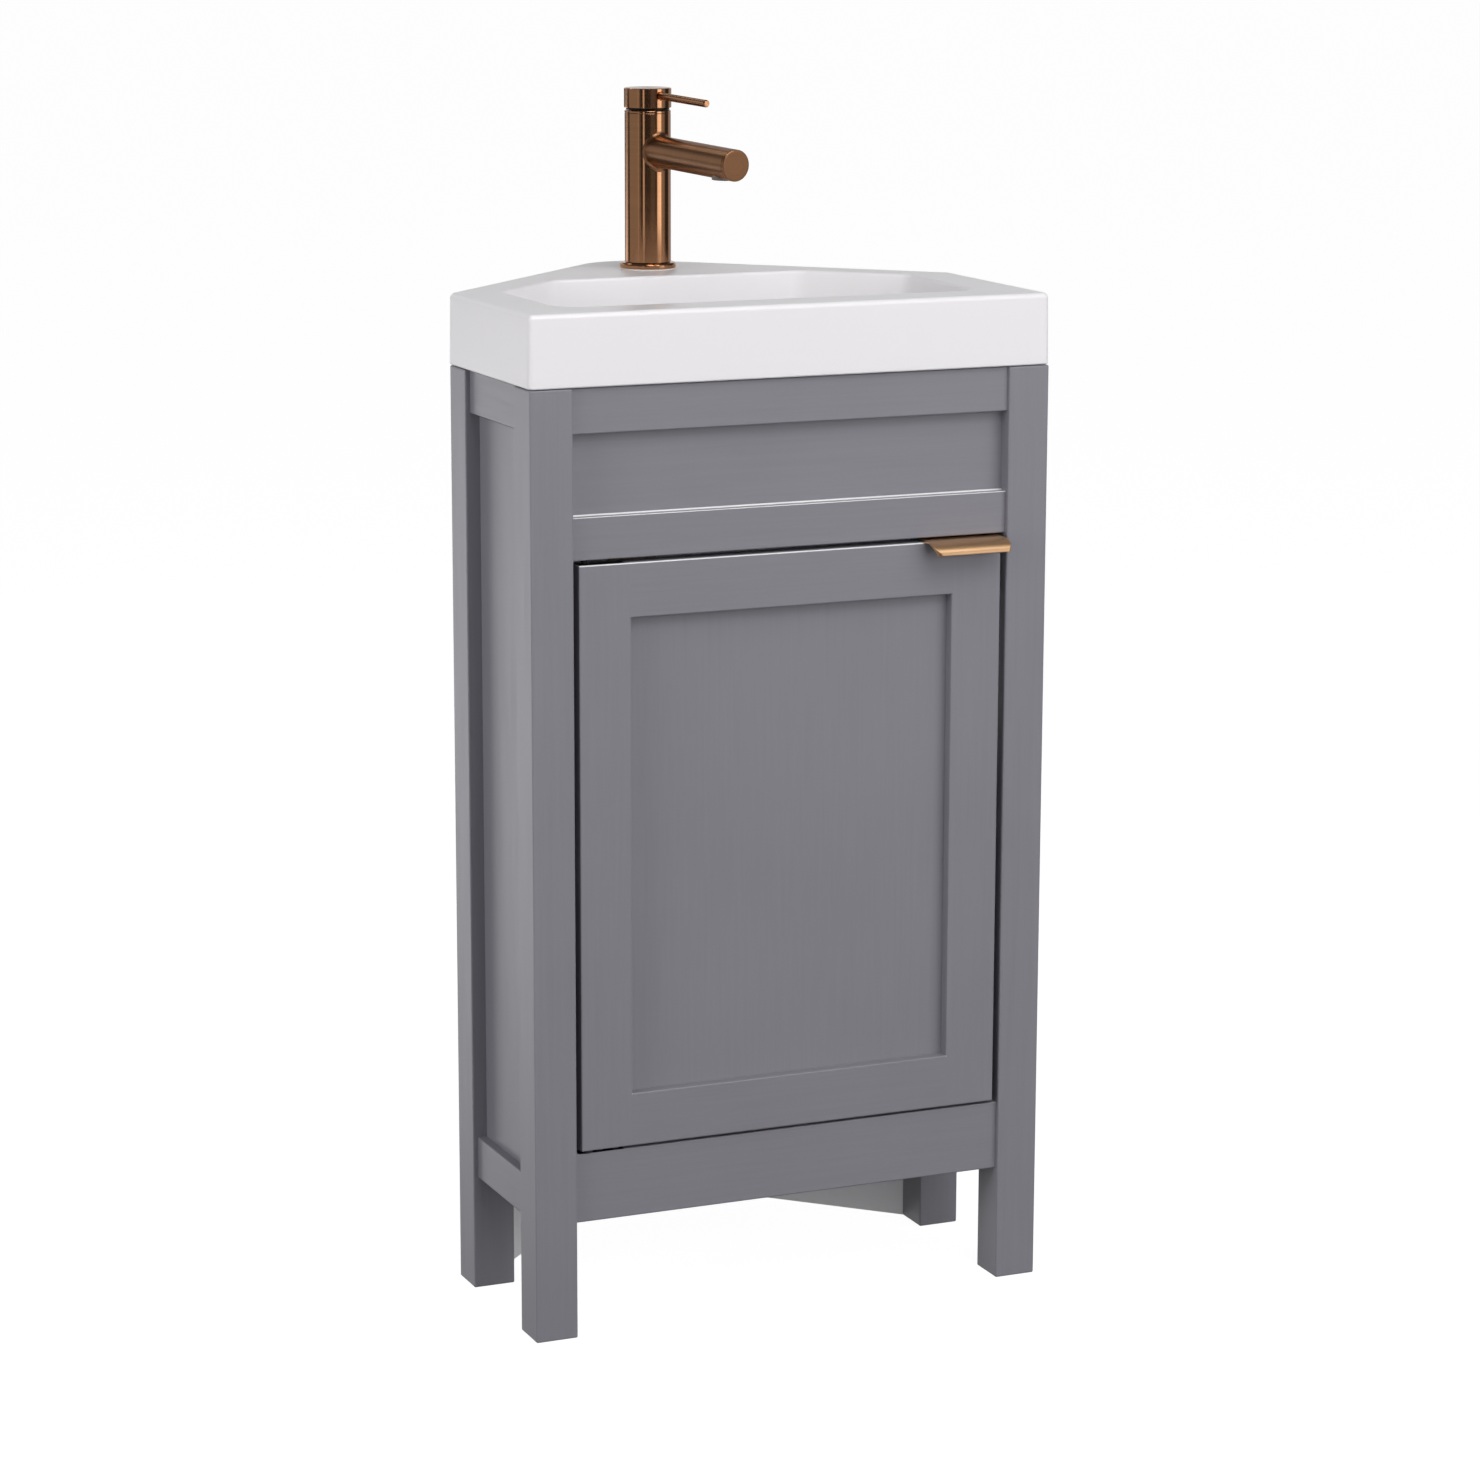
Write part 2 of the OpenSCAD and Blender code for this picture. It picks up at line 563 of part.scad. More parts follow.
module frame_pivot_plates() color(steel) place() {
    difference() { frame_plate_space(); frame_pivot_screw_set(); }
    translate([pivot_x, pivot_y, door_z1 - 12]) cylinder(h = mid_rail_z + 1 - door_z1 + 12, r = pin_r);
    translate([pivot_x, pivot_y, rail_top - 1]) cylinder(h = door_z0 - rail_top + 13, r = pin_r);
}
module pivot_washers() color(white) place() translate([pivot_x, pivot_y, 0])
    ring(rail_top, door_z0 - 0.2, pin_r + 0.05, 4.8);
module magnetic_catch() color(white) place() difference() {
    union() {
        bx([hw - leg - 12, door_y1 + 1, catch_z[0]], [hw - leg, leg - 0.5, catch_z[1]]);
        bx([hw - leg - 10, door_y1 + 0.4, catch_z[0] + 6], [hw - leg - 2, door_y1 + 1, catch_z[1] - 6]);
    }
    catch_screw_set();
}

// ---- door ------------------------------------------------------------------

module door_panel_space() bx([-door_x + door_frame - groove, door_py, door_z0 + door_frame - groove],
    [door_x - door_frame + groove, door_py + panel_t, door_z1 - door_frame + groove]);
module door_stile(s) {
    x0 = s < 0 ? -door_x : door_x - door_frame;
    xg = s < 0 ? -door_x + door_frame - groove : door_x - door_frame;
    difference() {
        bx([x0, door_set, door_z0], [x0 + door_frame, door_y1, door_z1]);
        bx([xg, door_py, door_z0 + 6], [xg + groove, door_py + panel_t, door_z1 - 6]);
        if (s < 0) { door_plate_space(); door_pivot_screw_set(); }
        if (s > 0) { catch_plate_space(); pull_screw_set(); }
    }
}
module door_stile_left() color(grey) place() door_stile(-1);
module door_stile_right() color(grey) place() door_stile(1);
module door_rail(z0, t0, t1) {
    bx([-door_x + door_frame, door_set, z0], [door_x - door_frame, door_y1, z0 + door_frame]);
    bx([-door_x + door_frame - groove, door_py, t0], [door_x - door_frame + groove, door_py + panel_t, t1]);
}
module door_top_rail() color(grey) place() difference() {
    door_rail(door_z1 - door_frame, door_z1 - door_frame + groove, door_z1 - 6);
    door_panel_space();
    pull_screw_set();
}
module door_bottom_rail() color(grey) place() difference() {
    door_rail(door_z0, door_z0 + 6, door_z0 + door_frame - groove);
    door_panel_space();
}
module door_panel() color(grey) place() door_panel_space();

module door_pivot_plates() color(steel) place() difference() {
    door_plate_space();
    door_pivot_screw_set();
    for (z = [door_z1 - 15, door_z0 - 1]) translate([pivot_x, pivot_y, z]) cylinder(h = 16, r = pin_r + 0.06);
}
module door_pivot_screws() color(steel) place() door_pivot_screw_set();
module catch_plate() color(steel) place() catch_plate_space();

// Edge pull: a flange over the door's top edge, and a lip that rolls over its
// front and points down, with round corners in plan.
pull_t = 2;
pull_drop = 10.7;
function pull_arc(i, cut) =
    [-4 - (pull_out - 4 - cut) * sin(7.5 * i), door_z1 + pull_t - pull_drop + (pull_drop - cut) * cos(7.5 * i)];
module edge_pull() color(bronze) place() difference() {
    intersection() {
        translate([door_x - pull_len, 0, 0]) rotate([90, 0, 90]) linear_extrude(pull_len) polygon(concat(
            [[13.5, door_z1 + pull_t]],
            [for (i = [0:12]) pull_arc(i, 0)],
            [for (i = [12:-1:0]) pull_arc(i, pull_t)],
            [[13.5, door_z1]]));
        translate([0, 0, door_z1 - 20]) linear_extrude(40)
            polygon(rounded(
                [[door_x - pull_len, -pull_out], [door_x, -pull_out], [door_x, 14], [door_x - pull_len, 14]],
                [7, 4, 0.01, 0.01], 8));
    }
    pull_screw_set();
}
module pull_screws() color(bronze) place() pull_screw_set();

// ---- drawing ----------------------------------------------------------------

leg_front_left();
leg_front_right();
leg_rear_left();
leg_rear_right();
rear_post();
front_top_rail();
front_panel();
front_mid_rail();
front_bottom_rail();
side_top_rail_left();
side_top_rail_right();
side_bottom_rail_left();
side_bottom_rail_right();
side_panel_left();
side_panel_right();
back_panel_left();
back_panel_right();
cabinet_floor();
shelf();
shelf_pins();
frame_dowels();
cabinet_screws();
wall_plates();
basin_seal();
basin();
waste_body();
waste_guide();
waste_washer();
waste_nut();
waste_plug();
plug_stem();
tap_gasket();
tap_base_ring();
tap_body();
tap_spout();
tap_aerator();
tap_cartridge();
cartridge_nut();
tap_stud();
tap_clamp_pad();
tap_clamp_washer();
tap_clamp_nut();
lever_carrier();
tap_cap();
tap_lever();
lift_pin();
frame_pivot_plates();
pivot_washers();
magnetic_catch();
door_stile_left();
door_stile_right();
door_top_rail();
door_bottom_rail();
door_panel();
door_pivot_plates();
door_pivot_screws();
catch_plate();
edge_pull();
pull_screws();
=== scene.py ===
import math

import bmesh
import bpy
from mathutils import Matrix, Vector


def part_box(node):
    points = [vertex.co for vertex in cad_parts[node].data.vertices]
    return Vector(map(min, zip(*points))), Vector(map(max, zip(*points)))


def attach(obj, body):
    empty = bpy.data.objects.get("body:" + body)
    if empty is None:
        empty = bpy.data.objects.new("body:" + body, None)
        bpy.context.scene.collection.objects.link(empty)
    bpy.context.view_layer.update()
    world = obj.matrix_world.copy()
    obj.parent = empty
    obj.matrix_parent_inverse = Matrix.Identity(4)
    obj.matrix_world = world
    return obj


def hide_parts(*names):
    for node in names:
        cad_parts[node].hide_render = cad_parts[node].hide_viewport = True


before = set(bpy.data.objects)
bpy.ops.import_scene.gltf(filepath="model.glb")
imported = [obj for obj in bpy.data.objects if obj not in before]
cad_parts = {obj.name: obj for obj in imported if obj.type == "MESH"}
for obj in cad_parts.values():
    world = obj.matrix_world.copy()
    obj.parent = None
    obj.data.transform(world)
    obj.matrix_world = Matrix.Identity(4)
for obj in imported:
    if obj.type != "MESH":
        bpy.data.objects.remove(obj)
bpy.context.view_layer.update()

scene = bpy.context.scene
# Lengths below are millimetres with the front plane of the legs at y = 0, as in the CAD source.
Y0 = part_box("leg_front_left")[0].y


def P(x, y, z):
    return Vector((x * 0.001, y * 0.001 + Y0, z * 0.001))


# ---- camera, at the photograph's viewing angle -------------------------------

yaw, pitch, roll = 0.40872, 0.20778, 0.0025
ahead = Vector((math.sin(yaw) * math.cos(pitch), math.cos(yaw) * math.cos(pitch), -math.sin(pitch)))
level = Vector((math.cos(yaw), -math.sin(yaw), 0))
above = level.cross(ahead)
right = level * math.cos(roll) + above * math.sin(roll)
up = above * math.cos(roll) - level * math.sin(roll)
cam_data = bpy.data.cameras.new("camera")
cam = bpy.data.objects.new("camera", cam_data)
scene.collection.objects.link(cam)
pose = Matrix((right, up, -ahead)).transposed().to_4x4()
pose.translation = Vector((-1.39718, -3.30035, 1.21007))
cam.matrix_world = pose
cam_data.sensor_fit = "HORIZONTAL"
cam_data.sensor_width = 36
cam_data.lens = 4237.5 * 36 / 1480
cam_data.clip_start, cam_data.clip_end = 0.05, 200
scene.camera = cam


# ---- outlines ---------------------------------------------------------------


def inset(pts, d):
    """A convex counter-clockwise polygon with every side moved inwards by d."""
    out, m = [], len(pts)
    for i in range(m):
        p = Vector(pts[i])
        u = (p - Vector(pts[i - 1])).normalized()
        v = (Vector(pts[(i + 1) % m]) - p).normalized()
        n1, n2 = Vector((-u.y, u.x)), Vector((-v.y, v.x))
        out.append(p + (n1 + n2) * d / (1 + n1.dot(n2)))
    return out


def fillet(pts, radii, n=4, sides=None):
    """Corners rounded to their radii with n steps each. sides[i] points are added on the side after corner i."""
    m, corners = len(pts), []
    for i in range(m):
        p = Vector(pts[i])
        if radii[i] <= 0:
            corners.append([p])
            continue
        a = (Vector(pts[i - 1]) - p).normalized()
        b = (Vector(pts[(i + 1) % m]) - p).normalized()
        half = a.angle(b) / 2
        c = p + (a + b).normalized() * radii[i] / math.sin(half)
        t = radii[i] / math.tan(half)
        v0, v1 = p + a * t - c, p + b * t - c
        w = v0.angle(v1)
        corners.append(
            [
                c + (v0 * math.sin((1 - k / n) * w) + v1 * math.sin(k / n * w)) / math.sin(w)
                for k in range(n + 1)
            ]
        )
    out = []
    for i, c in enumerate(corners):
        out += c
        k = sides[i] if sides else 0
        a, b = c[-1], corners[(i + 1) % m][0]
        out += [a + (b - a) * (j / (k + 1)) for j in range(1, k + 1)]
    return [(q.x, q.y) for q in out]


def arc(cx, cy, r, a0, a1, n):
    """Points of an arc, angles in degrees."""
    return [
        (
            cx + r * math.cos(math.radians(a0 + (a1 - a0) * i / n)),
            cy + r * math.sin(math.radians(a0 + (a1 - a0) * i / n)),
        )
        for i in range(n + 1)
    ]


# ---- mesh building -------------------------------------------------------------


def loft(bm, loops, caps=True, closed=True):
    """Skins a row of loops of P points that have the same count."""
    rows = [[bm.verts.new(p) for p in loop] for loop in loops]
    n = len(rows[0])
    for a, b in zip(rows, rows[1:]):
        for i in range(n if closed else n - 1):
            j = (i + 1) % n
            bm.faces.new((a[i], a[j], b[j], b[i]))
    if caps:
        bm.faces.new(rows[0])
        bm.faces.new(rows[-1])
    return rows


def bar(profile, axis, a0, a1):
    """A profile run along an axis, with flat ends."""
    put = {
        "x": lambda p, q, a: P(a, p, q),
        "y": lambda p, q, a: P(p, a, q),
        "z": lambda p, q, a: P(p, q, a),
    }[axis]
    bm = bmesh.new()
    loft(bm, [[put(p, q, a) for p, q in profile] for a in (a0, a1)])
    return bm


def soften(bm, r, seg=2, angle=40):
    """Rounds every edge sharper than angle."""
    bmesh.ops.remove_doubles(bm, verts=bm.verts, dist=1e-6)
    bmesh.ops.recalc_face_normals(bm, faces=bm.faces)
    sharp = [e for e in bm.edges if len(e.link_faces) == 2 and e.calc_face_angle(0) > math.radians(angle)]
    bmesh.ops.bevel(
        bm, geom=sharp, offset=r * 0.001, offset_type="OFFSET", segments=seg, profile=0.5,
        affect="EDGES", clamp_overlap=True,
    )
    return bm


def block(lo, hi, r=1.0, seg=3):
    bm = bar([(lo[0], lo[1]), (hi[0], lo[1]), (hi[0], hi[1]), (lo[0], hi[1])], "z", lo[2], hi[2])
    return soften(bm, r, seg) if r else bm


def rod(centre, axis, r, h, n=64):
    """A plain round cutter along an axis from its centre point."""
    c, a = Vector(centre), Vector(axis).normalized()
    s = a.orthogonal().normalized()
    t = a.cross(s)
    bm = bmesh.new()
    loft(
        bm,
        [
            [P(*(c + a * z + (s * math.cos(2 * math.pi * i / n) + t * math.sin(2 * math.pi * i / n)) * r)) for i in range(n)]
            for z in (0, h)
        ],
    )
    bmesh.ops.recalc_face_normals(bm, faces=bm.faces)
    return bm


def _temporary(bm, name):
    bmesh.ops.remove_doubles(bm, verts=bm.verts, dist=1e-6)
    bmesh.ops.recalc_face_normals(bm, faces=bm.faces)
    me = bpy.data.meshes.new(name)
    bm.to_mesh(me)
    bm.free()
    ob = bpy.data.objects.new(name, me)
    scene.collection.objects.link(ob)
    return ob


def carve(bm, cutters):
    """bm less the cutters."""
    base = _temporary(bm, "carve_base")
    cuts = [_temporary(c, "carve_cut") for c in cutters]
    for c in cuts:
        m = base.modifiers.new("cut", "BOOLEAN")
        m.operation, m.solver, m.object = "DIFFERENCE", "EXACT", c
    bpy.context.view_layer.update()
    evaluated = base.evaluated_get(bpy.context.evaluated_depsgraph_get())
    out = bmesh.new()
    out.from_mesh(evaluated.to_mesh())
    evaluated.to_mesh_clear()
    for ob in [base, *cuts]:
        me = ob.data
        bpy.data.objects.remove(ob)
        bpy.data.meshes.remove(me)
    return out


def piece(name, bm, body, material, nodes=(), crease=32):
    """Makes a mesh into a shown, smooth-shaded piece on its body and hides the CAD nodes it takes the place of."""
    bmesh.ops.remove_doubles(bm, verts=bm.verts, dist=1.5e-6)
    bmesh.ops.recalc_face_normals(bm, faces=bm.faces)
    me = bpy.data.meshes.new(name)
    bm.to_mesh(me)
    bm.free()
    me.polygons.foreach_set("use_smooth", [True] * len(me.polygons))
    me.set_sharp_from_angle(angle=math.radians(crease))
    me.materials.append(material)
    ob = bpy.data.objects.new(name, me)
    scene.collection.objects.link(ob)
    mod = ob.modifiers.new("normals", "WEIGHTED_NORMAL")
    mod.keep_sharp = True
    mod.weight = 80
    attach(ob, body)
    if nodes:
        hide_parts(*nodes)
    return ob


def highlight_arris(ob, up=0.4, out=0.15):
    """Gives the faces of an upper front arris the near-white paint: a painted highlight where the overhead light
    catches the edge.
    """
    ob.data.materials.append(arris_highlight_paint)
    for face in ob.data.polygons:
        if face.normal.y < -out and face.normal.z > up:
            face.material_index = 1


def revolve(profile, origin, axis=(0, 0, 1), side=(1, 0, 0), n=128):
    """A closed (radius, height) profile turned about an axis, with UVs in metres: round, then along."""
    o, a, s = Vector(origin), Vector(axis), Vector(side)
    t = a.cross(s)
    bm = bmesh.new()
    uv = bm.loops.layers.uv.new("turned")
    size = max(r for r, _ in profile)
    run = [0.0]
    for (r0, z0), (r1, z1) in zip(profile, profile[1:] + profile[:1]):
        run.append(run[-1] + math.hypot(r1 - r0, z1 - z0))
    rows = []
    for r, z in profile:
        if r < 1e-6:
            rows.append([bm.verts.new(P(*(o + a * z)))] * n)
        else:
            rows.append(
                [
                    bm.verts.new(P(*(o + a * z + (s * math.cos(2 * math.pi * i / n) + t * math.sin(2 * math.pi * i / n)) * r)))
                    for i in range(n)
                ]
            )
    m = len(profile)
    for k in range(m):
        r0, r1 = rows[k], rows[(k + 1) % m]
        if profile[k][0] < 1e-6 and profile[(k + 1) % m][0] < 1e-6:
            continue
        for i in range(n):
            j = (i + 1) % n
            quad, us = [r0[i], r0[j], r1[j], r1[i]], [i, i + 1, i + 1, i]
            vs = [run[k], run[k], run[k + 1], run[k + 1]]
            keep = [q for q in range(4) if quad[q] not in quad[:q]]
            f = bm.faces.new([quad[q] for q in keep])
            for loop, q in zip(f.loops, keep):
                loop[uv].uv = (us[q] / n * 2 * math.pi * size * 0.001, vs[q] * 0.001)
    return bm


# ---- materials ------------------------------------------------------------------


class Nodes:
    """A material's node tree, made a node at a time."""

    def __init__(self, name):
        self.material = bpy.data.materials.new(name)
        self.material.use_nodes = True
        self.tree = self.material.node_tree
        self.tree.nodes.clear()
        self.out = self.add("ShaderNodeOutputMaterial")
        self.shader = self.add("ShaderNodeBsdfPrincipled")
        self.link(self.shader, "BSDF", self.out, "Surface")

    def add(self, kind, **values):
        node = self.tree.nodes.new(kind)
        for k, v in values.items():
            setattr(node, k, v)
        return node

    def link(self, a, out, b, into):
        self.tree.links.new(a.outputs[out], b.inputs[into])

    def set(self, **values):
        for k, v in values.items():
            self.shader.inputs[k.replace("_", " ")].default_value = v

    def coords(self, scale, kind="Object", turn=(0, 0, 0)):
        tc = self.add("ShaderNodeTexCoord")
        mp = self.add("ShaderNodeMapping")
        mp.inputs["Scale"].default_value = scale
        mp.inputs["Rotation"].default_value = turn
        self.link(tc, kind, mp, "Vector")
        return mp

    def noise(self, coords, scale, detail=3.0, rough=0.55, distortion=0.0):
        n = self.add("ShaderNodeTexNoise")
        n.inputs["Scale"].default_value = scale
        n.inputs["Detail"].default_value = detail
        n.inputs["Roughness"].default_value = rough
        n.inputs["Distortion"].default_value = distortion
        self.link(coords, "Vector", n, "Vector")
        return n

    def ramp(self, source, out, stops):
        r = self.add("ShaderNodeValToRGB")
        e = r.color_ramp.elements
        while len(e) < len(stops):
            e.new(0.5)
        for el, (pos, col) in zip(e, stops):
            el.position = pos
            el.color = (*col, 1) if len(col) == 3 else col
        self.link(source, out, r, "Fac")
        return r

    def span(self, source, out, lo, hi, to_lo, to_hi):
        m = self.add("ShaderNodeMapRange")
        for k, v in (("From Min", lo), ("From Max", hi), ("To Min", to_lo), ("To Max", to_hi)):
            m.inputs[k].default_value = v
        self.link(source, out, m, "Value")
        return m

    def sum(self, a, aout, b, bout, wa, wb):
        """wa·a + wb·b"""
        m = self.add("ShaderNodeMath", operation="MULTIPLY")
        m.inputs[1].default_value = wb
        self.link(b, bout, m, 0)
        n = self.add("ShaderNodeMath", operation="MULTIPLY_ADD")
        n.inputs[1].default_value = wa
        self.tree.links.new(a.outputs[aout], n.inputs[0])
        self.tree.links.new(m.outputs[0], n.inputs[2])
        return n

    def bump(self, source, out, strength, distance, under=None):
        b = self.add("ShaderNodeBump")
        b.inputs["Strength"].default_value = strength
        b.inputs["Distance"].default_value = distance
        self.link(source, out, b, "Height")
        if under:
            self.link(under, "Normal", b, "Normal")
        return b


def tint(c, f):
    return tuple(min(1.0, x * f) for x in c)


def paint(name, grain, painted_highlight=False):
    """Satin paint laid on with a brush along the grain axis of the member. The near-white copy is a painted highlight
    for lit upper arrises.
    """
    base = (0.236, 0.231, 0.261) if not painted_highlight else (0.80, 0.80, 0.81)
    long, fine = 9.0, 330.0
    stretch = {"x": (long, fine, fine), "y": (fine, long, fine), "z": (fine, fine, long)}[grain]
    n = Nodes(name)
    strokes = n.noise(n.coords(stretch), 1.0, 4.0, 0.6)
    soft = n.noise(n.coords((1, 1, 1)), 7.0, 2.0, 0.5)
    peel = n.noise(n.coords((1, 1, 1)), 900.0, 2.0, 0.5)
    mixed = n.sum(strokes, "Fac", soft, "Fac", 0.6, 0.4)
    colour = n.ramp(mixed, 0, [(0.32, tint(base, 0.955)), (0.5, base), (0.68, tint(base, 1.045))])
    n.link(colour, "Color", n.shader, "Base Color")
    rough = n.span(strokes, "Fac", 0.3, 0.7, 0.32, 0.42)
    n.link(rough, "Result", n.shader, "Roughness")
    b1 = n.bump(strokes, "Fac", 0.25, 0.00006)
    b2 = n.bump(peel, "Fac", 0.12, 0.00003, b1)
    n.link(b2, "Normal", n.shader, "Normal")
    n.set(IOR=1.5)
    return n.material


def glaze():
    """Fired white glaze: nearly even, with a slow waviness."""
    base = (0.865, 0.847, 0.865)
    n = Nodes("glaze")
    slow = n.noise(n.coords((1, 1, 1)), 5.0, 2.0, 0.5)
    wavy = n.noise(n.coords((1, 1, 1)), 28.0, 1.5, 0.4)
    colour = n.ramp(slow, "Fac", [(0.3, tint(base, 0.993)), (0.7, tint(base, 1.005))])
    n.link(colour, "Color", n.shader, "Base Color")
    rough = n.span(wavy, "Fac", 0.3, 0.7, 0.285, 0.315)
    n.link(rough, "Result", n.shader, "Roughness")
    b = n.bump(wavy, "Fac", 0.05, 0.0003)
    n.link(b, "Normal", n.shader, "Normal")
    n.set(IOR=1.52)
    return n.material


def bronze(name, base, rough, stretch, kind="Object", amount=0.25, tangent=None, anis=0.0, vary=1.0):
    """Brushed, lacquered bronze. The scratches run along the short axis of stretch."""
    n = Nodes(name)
    lines = n.noise(n.coords(stretch, kind), 1.0, 4.0, 0.65)
    wide = n.noise(n.coords(tuple(s * 0.22 for s in stretch), kind), 1.0, 2.0, 0.5)
    cloud = n.noise(n.coords((1, 1, 1)), 24.0, 2.0, 0.5)
    mixed = n.sum(lines, "Fac", wide, "Fac", 0.6, 0.4)
    colour = n.ramp(mixed, 0, [(0.3, tint(base, 1 - 0.14 * vary)), (0.5, base), (0.7, tint(base, 1 + 0.1 * vary))])
    tone = n.add("ShaderNodeMix", data_type="RGBA", blend_type="MULTIPLY")
    tone.inputs["Factor"].default_value = 0.35
    n.link(colour, "Color", tone, 6)
    shade = n.ramp(cloud, "Fac", [(0.3, (0.84, 0.82, 0.8)), (0.65, (1, 1, 1))])
    n.tree.links.new(shade.outputs["Color"], tone.inputs[7])
    n.tree.links.new(tone.outputs[2], n.shader.inputs["Base Color"])
    r = n.span(mixed, 0, 0.25, 0.75, rough * 0.95, rough * 1.12)
    n.link(r, "Result", n.shader, "Roughness")
    b = n.bump(lines, "Fac", amount, 0.00004)
    n.link(b, "Normal", n.shader, "Normal")
    n.set(Metallic=1.0, Anisotropic=anis, Anisotropic_Rotation=0.25 if anis else 0.0)
    if tangent:
        t = n.add("ShaderNodeTangent", direction_type="UV_MAP", uv_map=tangent)
        n.link(t, "Tangent", n.shader, "Tangent")
    return n.material


def metal(name, base, rough, scale=160.0, amount=0.2):
    """Plain worked metal: plating or turned brass, with a fine cast and handling marks."""
    n = Nodes(name)
    fine = n.noise(n.coords((1, 1, 1)), scale * 6, 3.0, 0.6)
    patch = n.noise(n.coords((1, 1, 1)), scale, 3.0, 0.55)
    colour = n.ramp(patch, "Fac", [(0.3, tint(base, 0.82)), (0.7, tint(base, 1.08))])
    n.link(colour, "Color", n.shader, "Base Color")
    r = n.span(fine, "Fac", 0.3, 0.7, rough - 0.04, rough + 0.07)
    n.link(r, "Result", n.shader, "Roughness")
    b = n.bump(fine, "Fac", amount, 0.00004)
    n.link(b, "Normal", n.shader, "Normal")
    n.set(Metallic=1.0)
    return n.material


def moulded(name, base, rough, grain=700.0, amount=0.15, variation=0.04):
    """Moulded plastic, rubber or sealant."""
    n = Nodes(name)
    skin = n.noise(n.coords((1, 1, 1)), grain, 2.0, 0.5)
    slow = n.noise(n.coords((1, 1, 1)), 30.0, 2.0, 0.5)
    colour = n.ramp(slow, "Fac", [(0.3, tint(base, 1 - variation)), (0.7, tint(base, 1 + variation))])
    n.link(colour, "Color", n.shader, "Base Color")
    r = n.span(skin, "Fac", 0.3, 0.7, rough - 0.05, rough + 0.07)
    n.link(r, "Result", n.shader, "Roughness")
    b = n.bump(skin, "Fac", amount, 0.00005)
    n.link(b, "Normal", n.shader, "Normal")
    return n.material


def board():
    """White laminate on board, with a fine pearl texture."""
    base = (0.90, 0.90, 0.915)
    n = Nodes("laminate")
    pearl = n.noise(n.coords((1, 1, 1)), 1400.0, 2.0, 0.6)
    slow = n.noise(n.coords((1, 1, 1)), 9.0, 2.0, 0.5)
    colour = n.ramp(slow, "Fac", [(0.3, tint(base, 0.97)), (0.7, tint(base, 1.02))])
    n.link(colour, "Color", n.shader, "Base Color")
    r = n.span(pearl, "Fac", 0.3, 0.7, 0.4, 0.55)
    n.link(r, "Result", n.shader, "Roughness")
    b = n.bump(pearl, "Fac", 0.2, 0.00005)
    n.link(b, "Normal", n.shader, "Normal")
    return n.material


def wood():
    """Planed pine: growth rings stretched along the length."""
    n = Nodes("pine")
    rings = n.add("ShaderNodeTexWave", wave_type="BANDS", bands_direction="X", wave_profile="SAW")
    rings.inputs["Scale"].default_value = 1.0
    rings.inputs["Distortion"].default_value = 3.5
    rings.inputs["Detail"].default_value = 3.0
    rings.inputs["Detail Scale"].default_value = 1.4
    n.link(n.coords((38, 38, 1.8)), "Vector", rings, "Vector")
    fibre = n.noise(n.coords((900, 900, 14)), 1.0, 4.0, 0.6)
    mixed = n.sum(rings, "Fac", fibre, "Fac", 0.65, 0.35)
    colour = n.ramp(mixed, 0, [(0.15, (0.66, 0.46, 0.26)), (0.55, (0.58, 0.37, 0.19)), (0.9, (0.40, 0.22, 0.10))])
    n.link(colour, "Color", n.shader, "Base Color")
    r = n.span(fibre, "Fac", 0.3, 0.7, 0.5, 0.68)
    n.link(r, "Result", n.shader, "Roughness")
    b = n.bump(fibre, "Fac", 0.3, 0.0001)
    n.link(b, "Normal", n.shader, "Normal")
    return n.material


BRONZE = (0.52, 0.262, 0.132)
paint_up = paint("paint_upright", "z")
paint_across = paint("paint_across", "x")
paint_deep = paint("paint_deep", "y")
# A near-white copy of the paint: painted highlight on the lit upper arrises.
arris_highlight_paint = paint("arris_highlight_paint", "x", True)
ceramic = glaze()
turned = bronze("bronze_turned", BRONZE, 0.14, (40, 2600, 2600), "UV", 0.05, "turned", 0.85)
# Copies of the same bronze darkened to 0.72 for the spout and to 0.42 for its flat end and the plug: painted shade.
# The spout's higher roughness is its drawn finish.
spout_shaded_bronze = bronze("bronze_spout_shaded", tint(BRONZE, 0.72), 0.30, (40, 2600, 2600), "UV", 0.03, "turned", 0.5)
face_shaded_bronze = bronze("bronze_face_shaded", tint(BRONZE, 0.42), 0.30, (40, 2600, 2600), "UV", 0.12)
pull_metal = bronze("bronze_pull", (0.84, 0.52, 0.29), 0.30, (24, 1800, 1800), "Object", 0.12, vary=0.5)
laminate = board()
pine = wood()
brass = metal("brass", (0.80, 0.58, 0.27), 0.33)
zinc = metal("zinc", (0.62, 0.63, 0.65), 0.34)
rubber = moulded("rubber", (0.025, 0.025, 0.027), 0.6)
white_plastic = moulded("white_plastic", (0.78, 0.78, 0.76), 0.38)
aerator_plastic = moulded("aerator_plastic", (0.16, 0.13, 0.11), 0.4)
# Black steel for the pivot plates and screws; on the lever carrier it is painted shade, darkening the gap under the
# cap.
black_steel = metal("black_steel", (0.035, 0.033, 0.032), 0.42)
black_nylon = moulded("black_nylon", (0.02, 0.02, 0.021), 0.45)
silicone = moulded("silicone", (0.10, 0.10, 0.105), 0.5)


# ---- cabinet frame ---------------------------------------------------------------

HW, LEG, DEPTH, TOP = 230, 36.5, 187, 790


def mirror_x(lo, hi, s):
    return (lo, hi) if s < 0 else ((-hi[0], lo[1], lo[2]), (-lo[0], hi[1], hi[2]))


